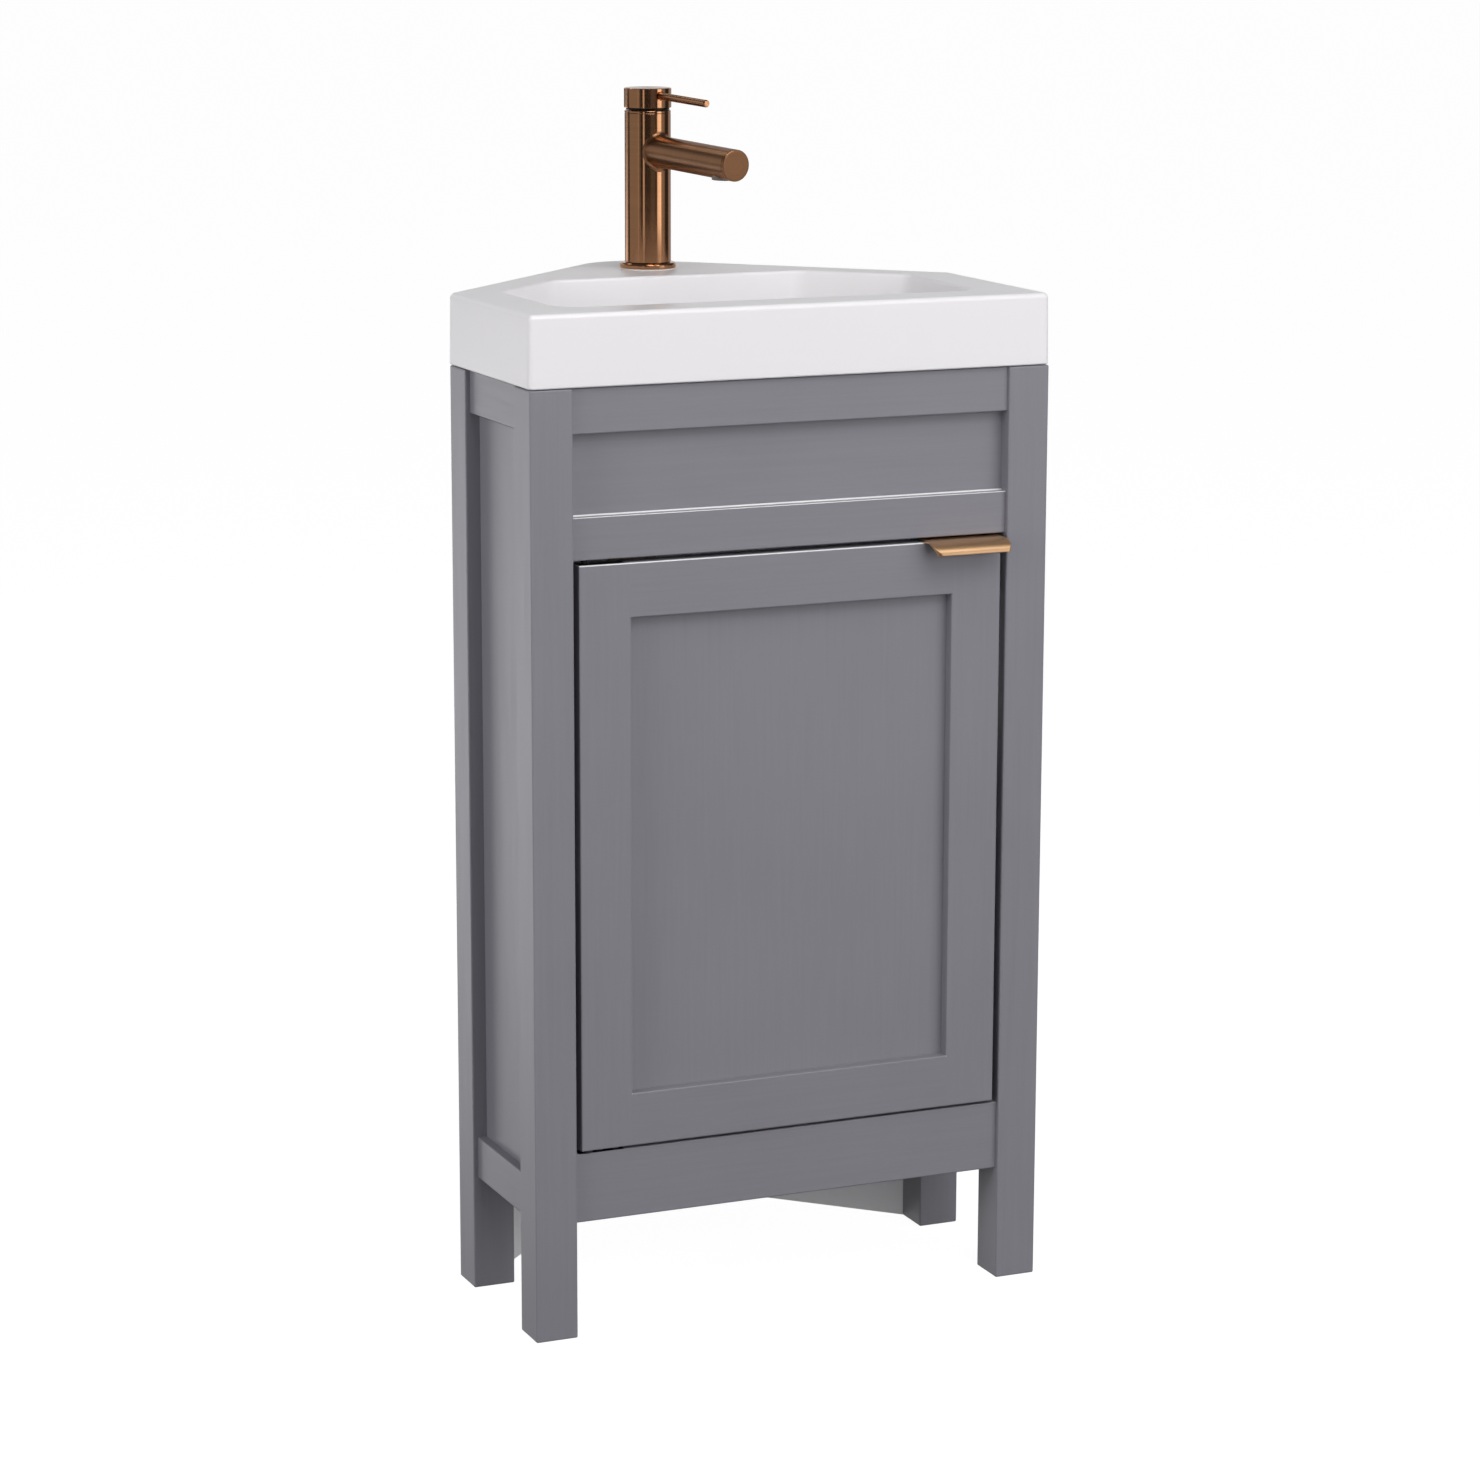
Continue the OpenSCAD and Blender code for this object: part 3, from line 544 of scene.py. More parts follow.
for s, side in ((-1, "left"), (1, "right")):
    panel_slot = [mirror_x((-217.5, 30.5, 128), (-211.5, 156.5, 760), s)]
    face_slot = [mirror_x((-199.5, 12.5, 680), (-193, 18.5, 759), s)]
    for end, y, cuts in (("front", 0, panel_slot + face_slot), ("rear", DEPTH - LEG, panel_slot)):
        lo, hi = mirror_x((-HW, y, 0), (-HW + LEG, y + LEG, TOP), s)
        bm = carve(block(lo, hi, 1.3, 4), [block(a, b, 0) for a, b in cuts])
        piece(f"leg_{end}_{side}", bm, "cabinet", paint_up, [f"leg_{end}_{side}"])

    # Rails between the legs, grooved for the side panel.
    for which, z0, z1, groove in (("bottom", 98, 134, 1), ("top", 754, 790, -1)):
        if groove > 0:
            pts = [(-225.5, z0), (-205.5, z0), (-205.5, z1), (-211.5, z1), (-211.5, z1 - 6), (-217.5, z1 - 6), (-217.5, z1), (-225.5, z1)]
            rad = [1.1, 0.8, 0.8, 0.3, 0, 0, 0.3, 1.1]
        else:
            pts = [(-225.5, z0), (-217.5, z0), (-217.5, z0 + 6), (-211.5, z0 + 6), (-211.5, z0), (-205.5, z0), (-205.5, z1), (-225.5, z1)]
            rad = [1.1, 0.3, 0, 0, 0.3, 0.8, 0.8, 1.1]
        bm = bar([(-s * p, q) for p, q in fillet(pts, rad, 4)], "y", LEG, DEPTH - LEG)
        piece(f"side_{which}_rail_{side}", bm, "cabinet", paint_deep, [f"side_{which}_rail_{side}"])
    lo, hi = mirror_x((-217.5, 30.5, 128), (-211.5, 156.5, 760), s)
    piece(f"side_panel_{side}", block(lo, hi, 0.3, 2), "cabinet", paint_up, [f"side_panel_{side}"])

    # Back board at 45 degrees, with its pipe window and wall screw hole.
    q = 1 / math.sqrt(2)

    def wall(u, w, z):
        return (s * (193.5 - (u - w) * q), DEPTH + (u + w) * q, z)

    def wall_box(u0, u1, z0, z1):
        bm = bmesh.new()
        loft(bm, [[P(*wall(u, w, z)) for u, w in ((u0, -3), (u1, -3), (u1, 18), (u0, 18))] for z in (z0, z1)])
        return bm

    outline = [(-193.5, 187), (-22, 358.5), (-22, 379.7132), (-214.7132, 187)]
    bm = soften(bar([(-s * x, y) for x, y in outline], "z", 0, TOP), 0.5)
    hole = rod(wall(96, -5, 690), (s * q, q, 0), 3.25, 30, 32)
    bm = carve(bm, [wall_box(118, 218, 402, 582), hole])
    piece(f"back_panel_{side}", bm, "cabinet", laminate, [f"back_panel_{side}"])

# Front rails: the top one stands a millimetre proud of the others.
groove_down = [(3.5, 753), (12.5, 753), (12.5, 759), (18.5, 759), (18.5, 753), (23.5, 753), (23.5, 790), (3.5, 790)]
bm = bar(fillet(groove_down, [1.2, 0.4, 0, 0, 0.4, 0.8, 0.8, 1.2], 4), "x", -193.5, 193.5)
piece("front_top_rail", bm, "cabinet", paint_across, ["front_top_rail"])
groove_up = [(4.5, 651), (24.5, 651), (24.5, 686), (18.5, 686), (18.5, 680), (12.5, 680), (12.5, 687.1), (12.2, 687.0), (11.6, 686), (4.5, 686)]
bm = bar(fillet(groove_up, [1.2, 0.8, 0.8, 0.4, 0, 0, 0, 0.2, 0.1, 0.9], 4), "x", -193.5, 193.5)
bm = carve(bm, [block((-190, 5, 650.9), (-150, 15, 653), 0)])
# The mid rail's top front arris carries a painted highlight.
highlight_arris(piece("front_mid_rail", bm, "cabinet", paint_across, ["front_mid_rail"]))
bm = bar(fillet([(4.5, 98), (24.5, 98), (24.5, 157), (4.5, 157)], [1.2, 0.8, 0.8, 1.2], 4), "x", -193.5, 193.5)
bm = carve(bm, [block((-190, 5, 155), (-150, 15, 157.1), 0)])
piece("front_bottom_rail", bm, "cabinet", paint_across, ["front_bottom_rail"])
piece("front_panel", block((-199.5, 12.5, 680), (199.5, 18.5, 759), 0.3, 2), "cabinet", paint_across, ["front_panel"])
piece("rear_post", block((-22, 352.5, 0), (22, 380.5, TOP), 1.5, 3), "cabinet", pine, ["rear_post"])


def half_board(g, yf, xf):
    return [
        (193.5 - g, yf), (193.5 - g, LEG + g), (xf - g, LEG + g), (xf - g, DEPTH - LEG - g),
        (193.5 - g, DEPTH - LEG - g), (193.5 - g, DEPTH),
    ]


def both_sides(half):
    return half + [(-x, y) for x, y in reversed(half)]


floor_outline = both_sides(half_board(0, 24.5, 211.5) + [(22, 358.5), (22, 352.5)])
piece("cabinet_floor", soften(bar(floor_outline, "z", 134, 149), 0.5), "cabinet", laminate, ["cabinet_floor"])
shelf_outline = both_sides(half_board(1, 26, 211.5) + [(106.5, 271)])
piece("shelf", soften(bar(shelf_outline, "z", 385, 400), 0.6), "cabinet", laminate, ["shelf"])


# ---- door ---------------------------------------------------------------------------

DX, DZ0, DZ1, DF = 188.5, 159.5, 647.5, 45.0
# Section of the frame: distance from the door's edge, and depth.
section = fillet(
    [(0, 1.5), (DF, 1.5), (DF, 11), (DF - 6, 11), (DF - 6, 17), (DF, 17), (DF, 21.5), (0, 21.5)],
    [1.4, 1.2, 0, 0, 0, 0, 0.8, 1.4], 4,
)
inner = DX - DF


def member(points_at):
    """Lofts the section through the given stations and caps the ends."""
    bm = bmesh.new()
    loft(bm, [[P(*f(w, y)) for w, y in section] for f in points_at])
    return bm


def station(x=None, corner=None):
    """The section's points either at an x along the top or bottom member, or at a corner's mitre."""
    def at(w, y):
        if corner:
            sx, sz = corner
            return (sx * (DX - w), y, DZ1 - w if sz > 0 else DZ0 + w)
        px, sz = x
        return (px, y, DZ1 - w if sz > 0 else DZ0 + w)
    return at


for s, side in ((-1, "left"), (1, "right")):
    bm = member([station(x=(s * inner, -1)), station(corner=(s, -1)), station(corner=(s, 1)), station(x=(s * inner, 1))])
    if s < 0:
        cuts = [block((-187.5, 3.5, 645.5), (-147.5, 13.5, 648), 0), block((-187.5, 3.5, 159), (-147.5, 13.5, 161.5), 0)]
        cuts += [rod((-181.5, 8.5, 633.5), (0, 0, 1), 4.5, 14.5), rod((-181.5, 8.5, 159), (0, 0, 1), 4.5, 14.5)]
    else:
        cuts = [block((170.5, 20.5, 604), (185.5, 22, 642), 0)]
    # The stiles' upper front arrises carry a painted highlight.
    highlight_arris(piece(f"door_stile_{side}", carve(bm, cuts), "door", paint_up, [f"door_stile_{side}"]))
for sz, which in ((1, "top"), (-1, "bottom")):
    bm = member([station(x=(-inner, sz)), station(x=(inner, sz))])
    ob = piece(f"door_{which}_rail", bm, "door", paint_across, [f"door_{which}_rail"])
    if sz > 0:
        # The top rail's upper front arris carries a painted highlight.
        highlight_arris(ob)
piece("door_panel", block((-149.5, 11, 198.5), (149.5, 17, 608.5), 0.3, 2), "door", paint_up, ["door_panel"])

# Edge pull: a flange on the door's top edge, and a lip that rolls over its front and points down.
X0, X1, TIP, SOFT = 117.5, 188.5, -20.0, 0.4
TOP_Z = DZ1 + 2


def pull_section(cut):
    """The lip's closed section with its surfaces pulled in by cut, as (y, z): its outer face, its end and its
    underside.
    """
    h, mid = 1.0 - cut, []
    for k in range(6):
        mid.append((Vector((13.5 - cut - 17.5 * k / 6, TOP_Z - 1.0)), Vector((0, 1))))
    for k in range(25):
        a = math.radians(90 * k / 24)
        n = Vector((-math.sin(a) / 15, math.cos(a) / 9.2)).normalized()
        mid.append((Vector((-4 - 15 * math.sin(a), TOP_Z - 10.2 + 9.2 * math.cos(a))), n))
    outer, under = [p + n * h for p, n in mid], [p - n * h for p, n in mid]
    c, r = mid[-1][0], SOFT
    end = []
    for k in range(1, 5):
        a = math.radians(90 * k / 5)
        end.append(Vector((c.x - h + r - r * math.cos(a), c.y - (0.5 - cut) * math.sin(a))))
    end.append(Vector((c.x - h + r, c.y - 0.5 + cut)))
    back = [Vector((2 * c.x - p.x, p.y)) for p in reversed(end)]
    return outer, end + back, under


bm = bmesh.new()
rows = []
for x, cut in ((0.0, SOFT), (SOFT * 0.13, SOFT * 0.5), (SOFT * 0.5, SOFT * 0.13), (SOFT, 0.0)):
    rows.append((x, cut, 0))
steps = [(x, cut, False) for x, cut, _ in rows] + [(x, cut, True) for x, cut, _ in reversed(rows)]
made = []
for x, cut, far in steps:
    outer, end, under = pull_section(cut)

    def at(p):
        # The lip's front corners are round in plan.
        r = 4.0 if far else 7.0
        d = min(r, max(0.0, p.x - TIP))
        inwards = r - math.sqrt(max(0.0, r * r - (r - d) ** 2))
        return P(X1 - x - inwards if far else X0 + x + inwards, p.x, p.y)

    made.append(([bm.verts.new(at(p)) for p in outer], [bm.verts.new(at(p)) for p in end], [bm.verts.new(at(p)) for p in under]))
for (o1, e1, u1), (o2, e2, u2) in zip(made, made[1:]):
    r1, r2 = o1 + e1 + u1[::-1], o2 + e2 + u2[::-1]
    for i in range(len(r1)):
        j = (i + 1) % len(r1)
        bm.faces.new((r1[i], r1[j], r2[j], r2[i]))
for o, e, u in (made[0], made[-1]):
    for i in range(len(o) - 1):
        bm.faces.new((o[i], o[i + 1], u[i + 1], u[i]))
    bm.faces.new([o[-1], *e, u[-1]])
piece("edge_pull", bm, "door", pull_metal, ["edge_pull"], crease=40)


# ---- basin -------------------------------------------------------------------------

BASE, RIM = 790.6, 850.0
skirt_pts = [(-230.5, -0.5), (230.5, -0.5), (230.5, 187), (0, 417.5), (-230.5, 187)]
bowl_pts = [(-187, 42), (187, 42), (187, 180), (116, 252), (-116, 252), (-187, 180)]
WASTE, TAP = (0, 147), (0, 317)


def skirt(d, z):
    radii = [max(5 - d, 1.0), max(5 - d, 1.0), max(6 - d, 1.0), 58 - d, max(6 - d, 1.0)]
    flat = fillet(inset(skirt_pts, d), radii, 10, [0, 0, 0, 0, 0])
    return [P(x, y, z) for x, y in flat]


def bowl(d, z, radii):
    flat = fillet(inset(bowl_pts, d), radii, 10, [18, 8, 8, 14, 8, 8])
    return [P(x, y, z) for x, y in flat]


def circle(centre, r, z, like=None, n=96):
    """A circle, with points at the bearings of the loop it joins."""
    cx, cy = centre
    if like:
        c = P(cx, cy, z)
        return [c + Vector((p.x - c.x, p.y - c.y, 0)).normalized() * r * 0.001 for p in like]
    return [P(cx + r * math.cos(2 * math.pi * i / n), cy + r * math.sin(2 * math.pi * i / n), z) for i in range(n)]


def between(a, b, t, z):
    return [Vector((p.x + (q.x - p.x) * t, p.y + (q.y - p.y) * t, z * 0.001)) for p, q in zip(a, b)]


def fill(bm, rows):
    """Fills the flat face bounded by closed rows of vertices."""
    edges = []
    for row in rows:
        for a, b in zip(row, row[1:] + row[:1]):
            e = bm.edges.get((a, b)) or bm.edges.new((a, b))
            edges.append(e)
    bmesh.ops.triangle_fill(bm, use_beauty=True, edges=edges)


bm = bmesh.new()
# Skirt, from the underside of the deck round to the deck.
rows = [(12.0, 836.0), (12.0, 792.4), (11.6, 791.2), (10.6, BASE), (1.5, BASE)]
rows += [(1.5 + r, z) for r, z in arc(0, BASE + 1.5, 1.5, 270, 180, 5)[1:]]
rows += [(0.25, 805.0), (0.5, 820.0), (0.75, 835.0)]
rows += [(5.5 + r, z) for r, z in arc(0, RIM - 4.6, 4.6, 180, 90, 8)]
outer = loft(bm, [skirt(d, z) for d, z in rows], caps=False)
# Mouth, walls and floor of the bowl.
R_MOUTH = [26, 26, 17, 17, 17, 17]
R_LOW = [32, 32, 30, 30, 30, 30]


def blend_radii(t):
    return [a + (b - a) * t for a, b in zip(R_MOUTH, R_LOW)]


wall_rows = [(-2.4 + 3.2 * math.sin(math.radians(90 * k / 8)), RIM - 3.2 + 3.2 * math.cos(math.radians(90 * k / 8))) for k in range(9)]
wall_rows += [(3.0, 820.0), (6.2, 792.0), (9.0, 772.0)]
wall_rows += [(10.0, 766.5), (11.9, 761.5), (14.8, 757.6), (18.8, 754.8), (23.6, 753.1), (29.0, 752.3)]
loops = [bowl(d, z, [max(r, 1) for r in blend_radii(min(1, max(0, d / 14)))]) for d, z in wall_rows]
last = loops[-1]
drain = circle(WASTE, 33.4, 750.2, last)
loops += [between(last, drain, t, 750.2 + 2.1 * (1 - t) ** 1.6) for t in (0.14, 0.28, 0.42, 0.56, 0.7, 0.84)]
loops += [drain, circle(WASTE, 32.7, 750.0, last), circle(WASTE, 32.2, 749.5, last), circle(WASTE, 32.0, 748.0, last)]
loops += [circle(WASTE, 23.0, 748.0, last), circle(WASTE, 23.0, 738.0, last)]
inside = loft(bm, loops, caps=False)
# Outside of the bowl, under the deck.
under = [(-9, 836, 26), (-6.5, 812, 27), (-4, 785, 28), (0, 762, 30), (2.5, 753, 33), (7.5, 745.5, 36), (13, 741, 38), (20, 738.4, 40), (27, 738, 40)]
loops = [bowl(d, z, [r] * 6) for d, z, r in under]
low = loops[-1]
end = circle(WASTE, 23.0, 738.0, low)
loops += [between(low, end, t, 738.0) for t in (0.3, 0.6, 0.85)]
outside = loft(bm, loops + [end], caps=False)
hole = loft(bm, [circle(TAP, 18.1, RIM), circle(TAP, 17.5, RIM - 0.6), circle(TAP, 17.5, 836.0)], caps=False)
fill(bm, [outer[-1], inside[0], hole[0]])
fill(bm, [outer[0], outside[0], hole[-1]])
bmesh.ops.remove_doubles(bm, verts=bm.verts, dist=1.5e-6)
piece("basin", bm, "cabinet", ceramic, ["basin"], crease=50)

# ---- waste -------------------------------------------------------------------------

profile = [(20.955, 660.0), (20.955, 722.0), (21.3, 722.6), (21.3, 748.05), (31.5, 748.05), (31.5, 749.3), (31.0, 750.0), (30.2, 750.2), (24.4, 750.2), (23.6, 750.0), (18.5, 747.0), (18.5, 660.0)]
profile = [(r, z if z > 661 else 760.0 - 100.0) for r, z in profile]
profile[0], profile[-1] = (20.955, 660.0 + 0.0), (18.5, 660.0)
piece("waste_body", revolve(profile, (*WASTE, 0), n=96), "cabinet", turned, ["waste_body"])
dome = [(0, 750.8), (28.2, 750.8), (29.0, 751.2), (29.5, 752.0), (29.5, 753.1)]
dome += [(29.5 * math.cos(a) ** 0.55 if a < 1.55 else 0, 753.4 + 2.8 * math.sin(a)) for a in (math.radians(6 * k) for k in range(1, 16))]
dome = [(max(r, 0.0), min(z, 756.2)) for r, z in dome[:-1]] + [(0, 756.2)]
# The plug takes the bronze copy darkened as painted shade.
piece("waste_plug", revolve(dome, (*WASTE, 0), n=96), "plug", face_shaded_bronze, ["waste_plug"])

# ---- tap -----------------------------------------------------------------------------

turn, fall = math.radians(11), math.radians(2.5)
ct, st = math.cos(turn), math.sin(turn)
cf, sf = math.cos(fall), math.sin(fall)


def T(x, y, z):
    """Tap's own frame, spout along -Y, to the cabinet's."""
    return (TAP[0] + x * ct - y * st, TAP[1] + x * st + y * ct, z)


# The spout and the lever drop outwards by the fall.
OUT = Vector((st * cf, -ct * cf, -sf))
RISE = Vector((st * sf, -ct * sf, cf))
ACROSS = Vector((ct, st, 0))
R, RS, SPOUT_Z, REACH, CAP_R, LEVER_Z = 20.0, 13.5, 953.0, 136.0, 20.5, 999.7


def drop(x, y, z):
    """A point of the spout's own frame, whose origin is on the tap's axis."""
    return (x, y * cf - z * sf, SPOUT_Z + y * sf + z * cf)


ring = [(16.2, 851.0), (16.5, 850.85), (23.8, 850.85), (24.3, 851.05), (24.5, 851.5), (24.5, 853.6)]
ring += arc(22.4, 853.6, 2.1, 10, 90, 8) + [(20.3, 855.75), (16.4, 855.75), (16.2, 855.5)]
piece("tap_base_ring", revolve(ring, (*TAP, 0)), "cabinet", turned, ["tap_base_ring"])

stem = [(0, 851.2), (15.6, 851.2), (16.0, 851.6), (16.0, 856.0), (19.7, 856.0), (20.0, 856.3), (20.0, 984.3), (19.8, 984.6), (20.0, 984.9), (20.0, 985.9)]
stem += arc(19.2, 986.2, 0.8, 0, 90, 4) + [(15.9, 987.0), (15.2, 986.4), (15.2, 950.5), (14.7, 950.0), (0, 950.0)]
piece("tap_body", revolve(stem, (*TAP, 0)), "cabinet", turned, ["tap_body"])

# Spout: a tube that meets the body in a small rolled fillet, with a groove before its flat end.
F, N = 4.0, 128
phis = [2 * math.pi * i / N for i in range(N)]
spout_rows, marks = [], []


def spout_row(f, mark):
    spout_rows.append([f(a) for a in phis])
    marks.append(mark)


def saddle(radius, r):
    def at(a):
        x, z = r * math.cos(a), r * math.sin(a)
        return drop(x, (z * sf - math.sqrt(radius * radius - x * x)) / cf, z)
    return at


def rolled(t):
    def at(a):
        cx, cz = (RS + F) * math.cos(a), (RS + F) * math.sin(a)
        cy = (cz * sf - math.sqrt((R + F) ** 2 - cx * cx)) / cf
        c = Vector(drop(cx, cy, cz))
        on_body = Vector((c.x * R / (R + F), c.y * R / (R + F), c.z)) - c
        on_tube = Vector(drop(RS * math.cos(a), cy, RS * math.sin(a))) - c
        w = on_body.angle(on_tube)
        v = (on_body * math.sin((1 - t) * w) + on_tube * math.sin(t * w)) / math.sin(w)
        return tuple(c + v.normalized() * F)
    return at


def tube(r, y):
    return lambda a: drop(r * math.cos(a), y, r * math.sin(a))


spout_row(tube(9.0, 13.0 - REACH), REACH - 13.0)
spout_row(saddle(19.6, 9.0), 19.0)
spout_row(saddle(19.6, 13.2), 18.0)
for k in range(13):
    spout_row(rolled(k / 12), 17.0 + k * 0.5)
for k in range(1, 31):
    y = 25.0 + (REACH - 3.4 - 25.0) * k / 30
    spout_row(tube(RS, -y), y)
for r, back in ((13.32, 3.2), (13.2, 2.95), (13.2, 2.75), (13.32, 2.5), (13.5, 2.3), (13.5, 0.8), (13.42, 0.4), (13.15, 0.1), (12.75, 0.0)):
    spout_row(tube(r, back - REACH), REACH - back)
for r in (11.0, 8.0, 4.0):
    spout_row(tube(r, -REACH), REACH + 12.75 - r)
bm = bmesh.new()
uv = bm.loops.layers.uv.new("turned")
grid = [[bm.verts.new(P(*T(*p))) for p in row] for row in spout_rows]
for k in range(len(grid) - 1):
    for i in range(N):
        j = (i + 1) % N
        f = bm.faces.new((grid[k][i], grid[k][j], grid[k + 1][j], grid[k + 1][i]))
        for loop, (u, v) in zip(f.loops, ((i, marks[k]), (i + 1, marks[k]), (i + 1, marks[k + 1]), (i, marks[k + 1]))):
            loop[uv].uv = (u / N * 2 * math.pi * RS * 0.001, v * 0.001)
for row, centre in ((grid[0], drop(0, 13.0 - REACH, 0)), (grid[-1], drop(0, -REACH, 0))):
    c = bm.verts.new(P(*T(*centre)))
    for i in range(N):
        f = bm.faces.new((row[i], row[(i + 1) % N], c))
        for loop, (u, v) in zip(f.loops, ((i, REACH + 8.75), (i + 1, REACH + 8.75), (i + 0.5, REACH + 12.75))):
            loop[uv].uv = (u / N * 2 * math.pi * RS * 0.001, v * 0.001)
bm = carve(bm, [rod(T(*drop(0, 20 - REACH, -24)), RISE, 9.0, 24)])
ob = piece("tap_spout", bm, "cabinet", spout_shaded_bronze, ["tap_spout"], crease=38)
# The flat end takes the bronze copy darkened further: painted shade.
ob.data.materials.append(face_shaded_bronze)
tip = P(*T(*drop(0, -REACH, 0)))
for face in ob.data.polygons:
    if abs((face.center - tip).dot(OUT)) < 0.0002 and (face.center - tip).length < 0.0128:
        face.material_index = 1

# Cap, with the hole its lever comes out of and the pocket of its hinge.
cap = [(0, 1006.0), (19.6, 1006.0), (20.05, 1005.88), (20.4, 1005.55), (20.5, 1005.1), (20.5, 989.8), (20.35, 989.25), (19.9, 989.0), (15.5, 989.0), (15.0, 989.5), (15.0, 999.0), (0, 999.0)]
cuts = [
    rod(T(0, -CAP_R + 7 * cf, LEVER_Z + 7 * sf), OUT, 3.25, 12),
    rod(T(0, -CAP_R + 1.6 * cf, LEVER_Z + 1.6 * sf), OUT, 4.0, 8),
]
pocket = bmesh.new()
loft(pocket, [[P(*T(x, y, z)) for x, y in ((-3, 0), (3, 0), (3, 15.8), (-3, 15.8))] for z in (988, 995)])
cuts += [pocket, rod(T(-3, 15.8, 992), ACROSS, 3.2, 6)]
bm = carve(revolve(cap, (*TAP, 0)), cuts)
piece("tap_cap", bm, "tap_handle", turned, ["tap_cap"])

pin = [(0, 0.0), (3.0, 0.0), (3.2, 0.2), (3.2, 74.9), (3.12, 75.5), (2.85, 76.1), (2.4, 76.5), (0, 76.5)]
bm = revolve(pin, T(0, -CAP_R + 5 * cf, LEVER_Z + 5 * sf), OUT, ACROSS, n=64)
piece("tap_lever", bm, "tap_handle", turned, ["tap_lever"])


# ---- hardware that keeps its CAD shape --------------------------------------------------

# The lever carrier is black so the gap under the tap's cap reads dark: painted shade.
finishes = {
    "frame_dowels": pine, "shelf_pins": zinc, "cabinet_screws": zinc, "wall_plates": zinc, "basin_seal": silicone,
    "waste_guide": brass, "waste_washer": rubber, "waste_nut": brass, "plug_stem": brass, "tap_gasket": white_plastic,
    "tap_aerator": aerator_plastic, "tap_cartridge": black_nylon, "cartridge_nut": brass, "tap_stud": zinc,
    "tap_clamp_pad": rubber, "tap_clamp_washer": zinc, "tap_clamp_nut": zinc, "lever_carrier": black_steel, "lift_pin": zinc,
    "frame_pivot_plates": black_steel, "pivot_washers": black_nylon, "magnetic_catch": white_plastic,
    "door_pivot_plates": black_steel, "door_pivot_screws": black_steel, "catch_plate": zinc, "pull_screws": pull_metal,
}
for name, finish in finishes.items():
    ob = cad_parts[name]
    ob.data.materials.clear()
    ob.data.materials.append(finish)


# ---- floor and light ----------------------------------------------------------------------
# Bearings are seen from the object: 0 is the front, 90 its right, 180 the back, in degrees.


def bearing(deg, dist, z):
    a = math.radians(deg)
    return (math.sin(a) * dist, -math.cos(a) * dist, z)


def backdrop(name, ob_mesh, colour, glow):
    """A pale surface that the camera sees; it neither lights the object nor shows in its reflections."""
    n = Nodes(name)
    mottle = n.noise(n.coords((1, 1, 1)), 0.6, 1.0, 0.5)
    tone = n.ramp(mottle, "Fac", [(0.3, tint(colour, 0.99)), (0.7, tint(colour, 1.01))])
    n.link(tone, "Color", n.shader, "Base Color")
    n.set(Roughness=1.0, Specular_IOR_Level=0.0, Emission_Color=(1, 1, 1, 1), Emission_Strength=glow)
    ob_mesh.materials.append(n.material)
    ob = bpy.data.objects.new(name, ob_mesh)
    scene.collection.objects.link(ob)
    ob.visible_diffuse = ob.visible_glossy = ob.visible_shadow = ob.visible_transmission = False
    return ob


bm = bmesh.new()
rings = [[Vector((r * math.cos(a), r * math.sin(a), -0.0002)) for a in (2 * math.pi * i / 96 for i in range(96))] for r in (0.5, 1.5, 5, 15, 45)]
loft(bm, rings, caps=False)
bm.faces.new(bm.verts[:96])
bmesh.ops.recalc_face_normals(bm, faces=bm.faces)
if next(iter(bm.faces)).normal.z < 0:
    bmesh.ops.reverse_faces(bm, faces=bm.faces)
me = bpy.data.meshes.new("floor")
bm.to_mesh(me)
bm.free()
backdrop("floor", me, (0.12, 0.12, 0.121), 0.97)
bm = bmesh.new()
bmesh.ops.create_uvsphere(bm, u_segments=48, v_segments=24, radius=48)
bmesh.ops.reverse_faces(bm, faces=bm.faces)
me = bpy.data.meshes.new("studio_wall")
bm.to_mesh(me)
bm.free()
backdrop("studio_wall", me, (0.05, 0.05, 0.05), 0.98)

# The room that lights the object: darker behind the camera, brighter to the back left.
world = bpy.data.worlds.new("studio")
scene.world = world
world.use_nodes = True
wt = world.node_tree
wt.nodes.clear()
wo = wt.nodes.new("ShaderNodeOutputWorld")
bg = wt.nodes.new("ShaderNodeBackground")
wt.links.new(bg.outputs[0], wo.inputs[0])
tc = wt.nodes.new("ShaderNodeTexCoord")
sep = wt.nodes.new("ShaderNodeSeparateXYZ")
wt.links.new(tc.outputs["Generated"], sep.inputs[0])
flat = wt.nodes.new("ShaderNodeCombineXYZ")
wt.links.new(sep.outputs["X"], flat.inputs["X"])
wt.links.new(sep.outputs["Y"], flat.inputs["Y"])
unit = wt.nodes.new("ShaderNodeVectorMath")
unit.operation = "NORMALIZE"
wt.links.new(flat.outputs[0], unit.inputs[0])


def w_range(source, lo, hi, to_lo, to_hi):
    m = wt.nodes.new("ShaderNodeMapRange")
    m.interpolation_type = "SMOOTHSTEP"
    for k, v in (("From Min", lo), ("From Max", hi), ("To Min", to_lo), ("To Max", to_hi)):
        m.inputs[k].default_value = v
    wt.links.new(source, m.inputs["Value"])
    return m.outputs["Result"]


def w_math(op, a, b):
    m = wt.nodes.new("ShaderNodeMath")
    m.operation = op
    for i, v in enumerate((a, b)):
        if isinstance(v, float):
            m.inputs[i].default_value = v
        else:
            wt.links.new(v, m.inputs[i])
    return m.outputs[0]


def wall_glow(deg, inner_half, outer_half, value, low0, low1, high1, high0):
    """Part of the room's wall at a bearing, fading out sideways and above and below."""
    dot = wt.nodes.new("ShaderNodeVectorMath")
    dot.operation = "DOT_PRODUCT"
    dot.inputs[1].default_value = bearing(deg, 1, 0)
    wt.links.new(unit.outputs[0], dot.inputs[0])
    side = w_range(dot.outputs["Value"], math.cos(math.radians(outer_half)), math.cos(math.radians(inner_half)), 0.0, 1.0)
    under = w_range(sep.outputs["Z"], low0, low1, 0.0, 1.0)
    over = w_range(sep.outputs["Z"], high1, high0, value, 0.0)
    return w_math("MULTIPLY", w_math("MULTIPLY", side, under), over)


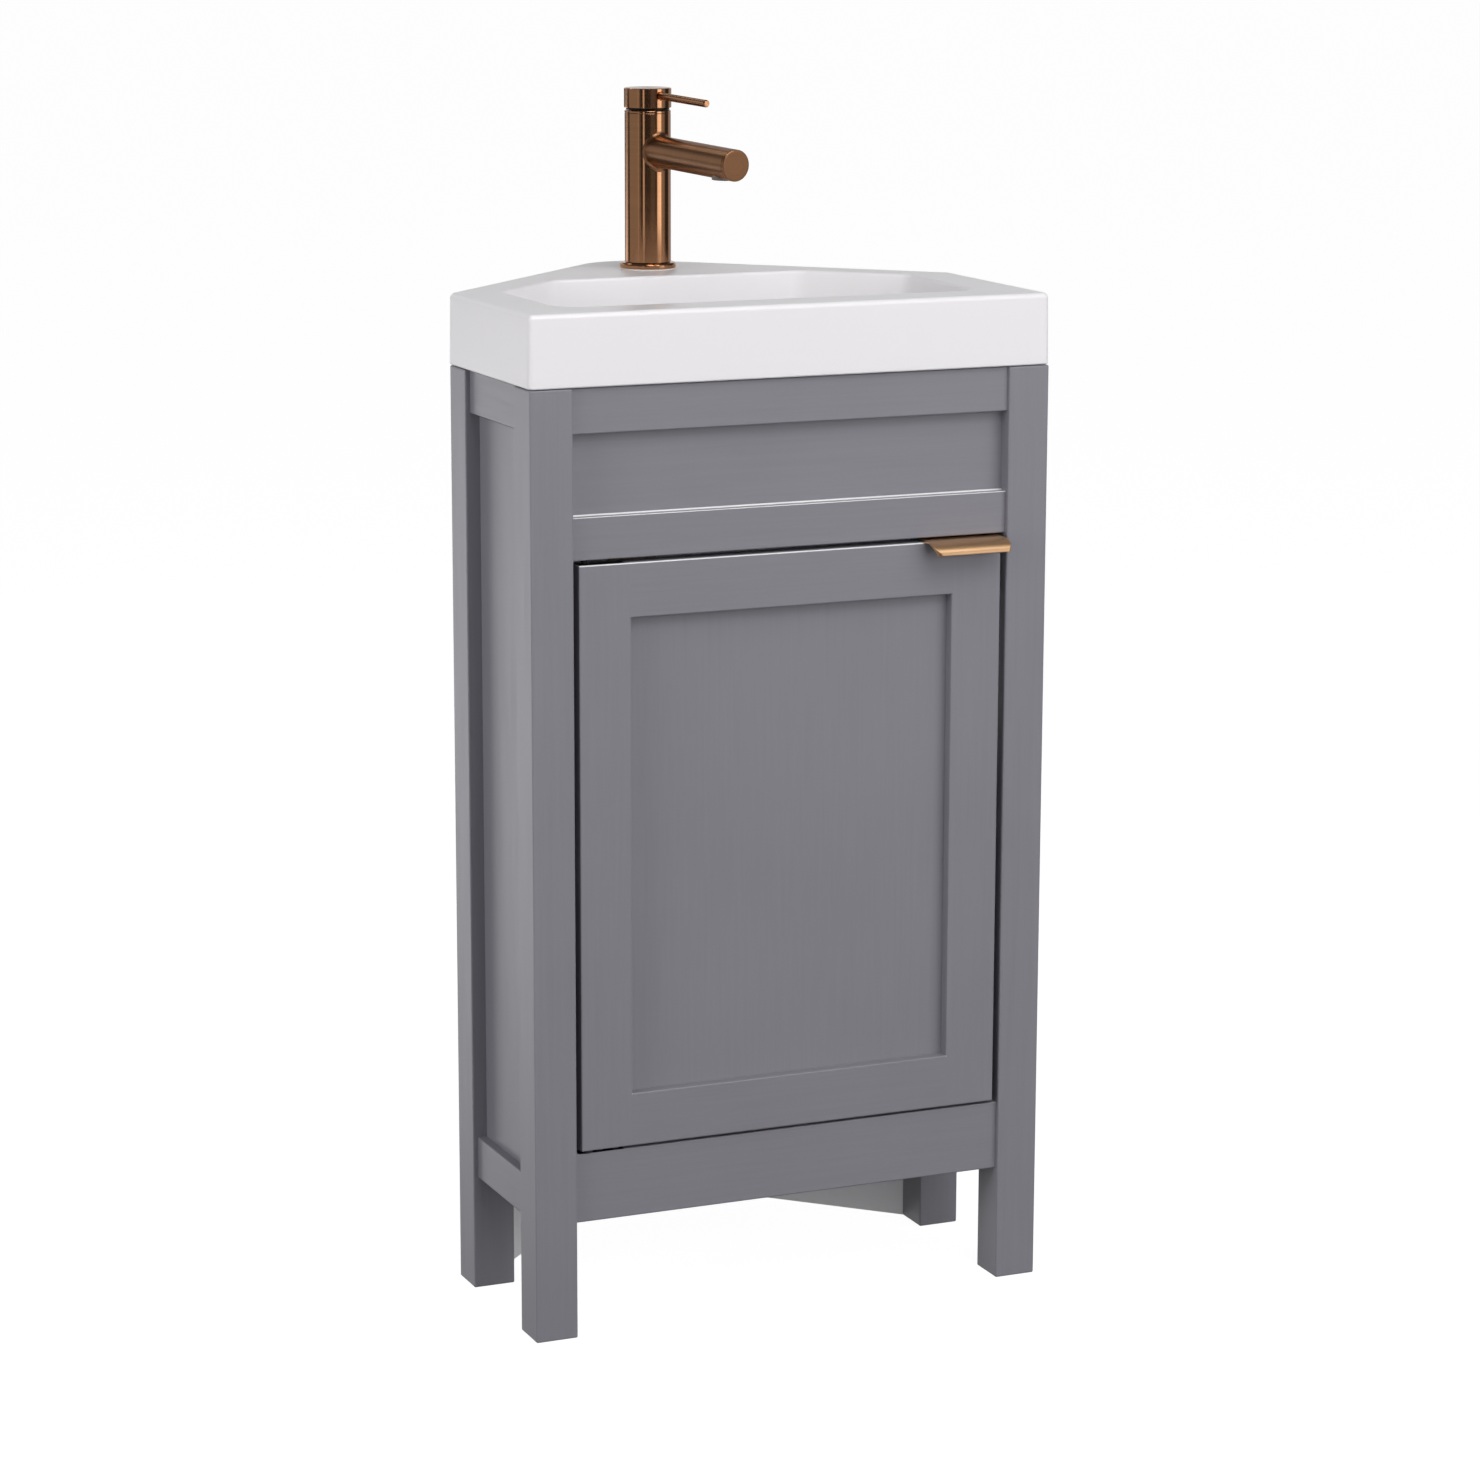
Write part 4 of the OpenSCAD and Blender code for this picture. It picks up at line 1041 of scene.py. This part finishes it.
# bearing, half widths of the full and the faded part, strength, and the sines of elevation between
# which it fades in, stays and fades out
GLOWS = [
    (180, 34, 62, 0.64, -0.06, 0.03, 0.25, 0.5),
    (-158, 12, 19, 1.80, -0.36, -0.24, -0.12, -0.06),
    (-96, 27, 31, 0.32, -0.6, -0.4, 0.1, 0.4),
    (-65, 4, 8, 0.18, -0.6, -0.4, 0.1, 0.3),
    (-42, 2.5, 4.5, 0.90, -0.5, -0.35, 0.1, 0.3),
    (5, 9, 15, 0.08, -0.5, -0.35, 0.1, 0.3),
    (38, 7, 14, 2.0, -0.17, -0.12, 0.2, 0.45),
    (57, 7, 20, 0.32, -0.5, -0.35, 0.1, 0.4),
    (44, 14, 20, 0.36, -0.5, -0.4, -0.2, -0.14),
    (122, 12, 24, 0.40, -0.5, -0.35, 0.1, 0.4),
]
BASE_LOW, BASE_HIGH = 0.04, 0.10
# name, centre, target, width, height, radiance, seen in reflections
BOXES = [
    ("key", bearing(46, 2.6, 2.3), (0, 0, 0.9), 1.45, 1.7, 1.6, False),
    ("fill", bearing(8, 3.4, 1.15), (0, 0, 0.5), 2.0, 1.6, 3.2, False),
    ("overhead", (0.1, -0.9, 2.6), (0, 0, 0.7), 1.4, 0.4, 3.0, True),
    ("hair", (-0.2, 1.9, 2.7), (0, 0, 0.8), 2.0, 0.22, 3.0, True),
    ("left_fill", bearing(-75, 2.6, 1.3), (0, 0, 0.6), 1.2, 1.8, 4.6, False),
    ("high_fill", bearing(8, 3.1, 3.6), (0, 0, 0.8), 3.0, 2.1, 3.0, True),
]


def softbox(name, centre, target, w, h, radiance, reflects):
    light = bpy.data.lights.new(name, "AREA")
    light.shape, light.size, light.size_y = "RECTANGLE", w, h
    light.energy = radiance * math.pi * w * h
    ob = bpy.data.objects.new(name, light)
    scene.collection.objects.link(ob)
    ob.location = centre
    ob.rotation_mode = "QUATERNION"
    ob.rotation_quaternion = (Vector(target) - Vector(centre)).to_track_quat("-Z", "Y")
    ob.visible_camera = False
    ob.visible_glossy = reflects


total = w_range(sep.outputs["Z"], -0.3, 0.9, BASE_LOW, BASE_HIGH)
for glow in GLOWS:
    total = w_math("ADD", total, wall_glow(*glow))
wt.links.new(total, bg.inputs["Strength"])
bg.inputs["Color"].default_value = (1, 1, 1.012, 1)
for box in BOXES:
    softbox(*box)

scene.view_settings.view_transform = "Standard"
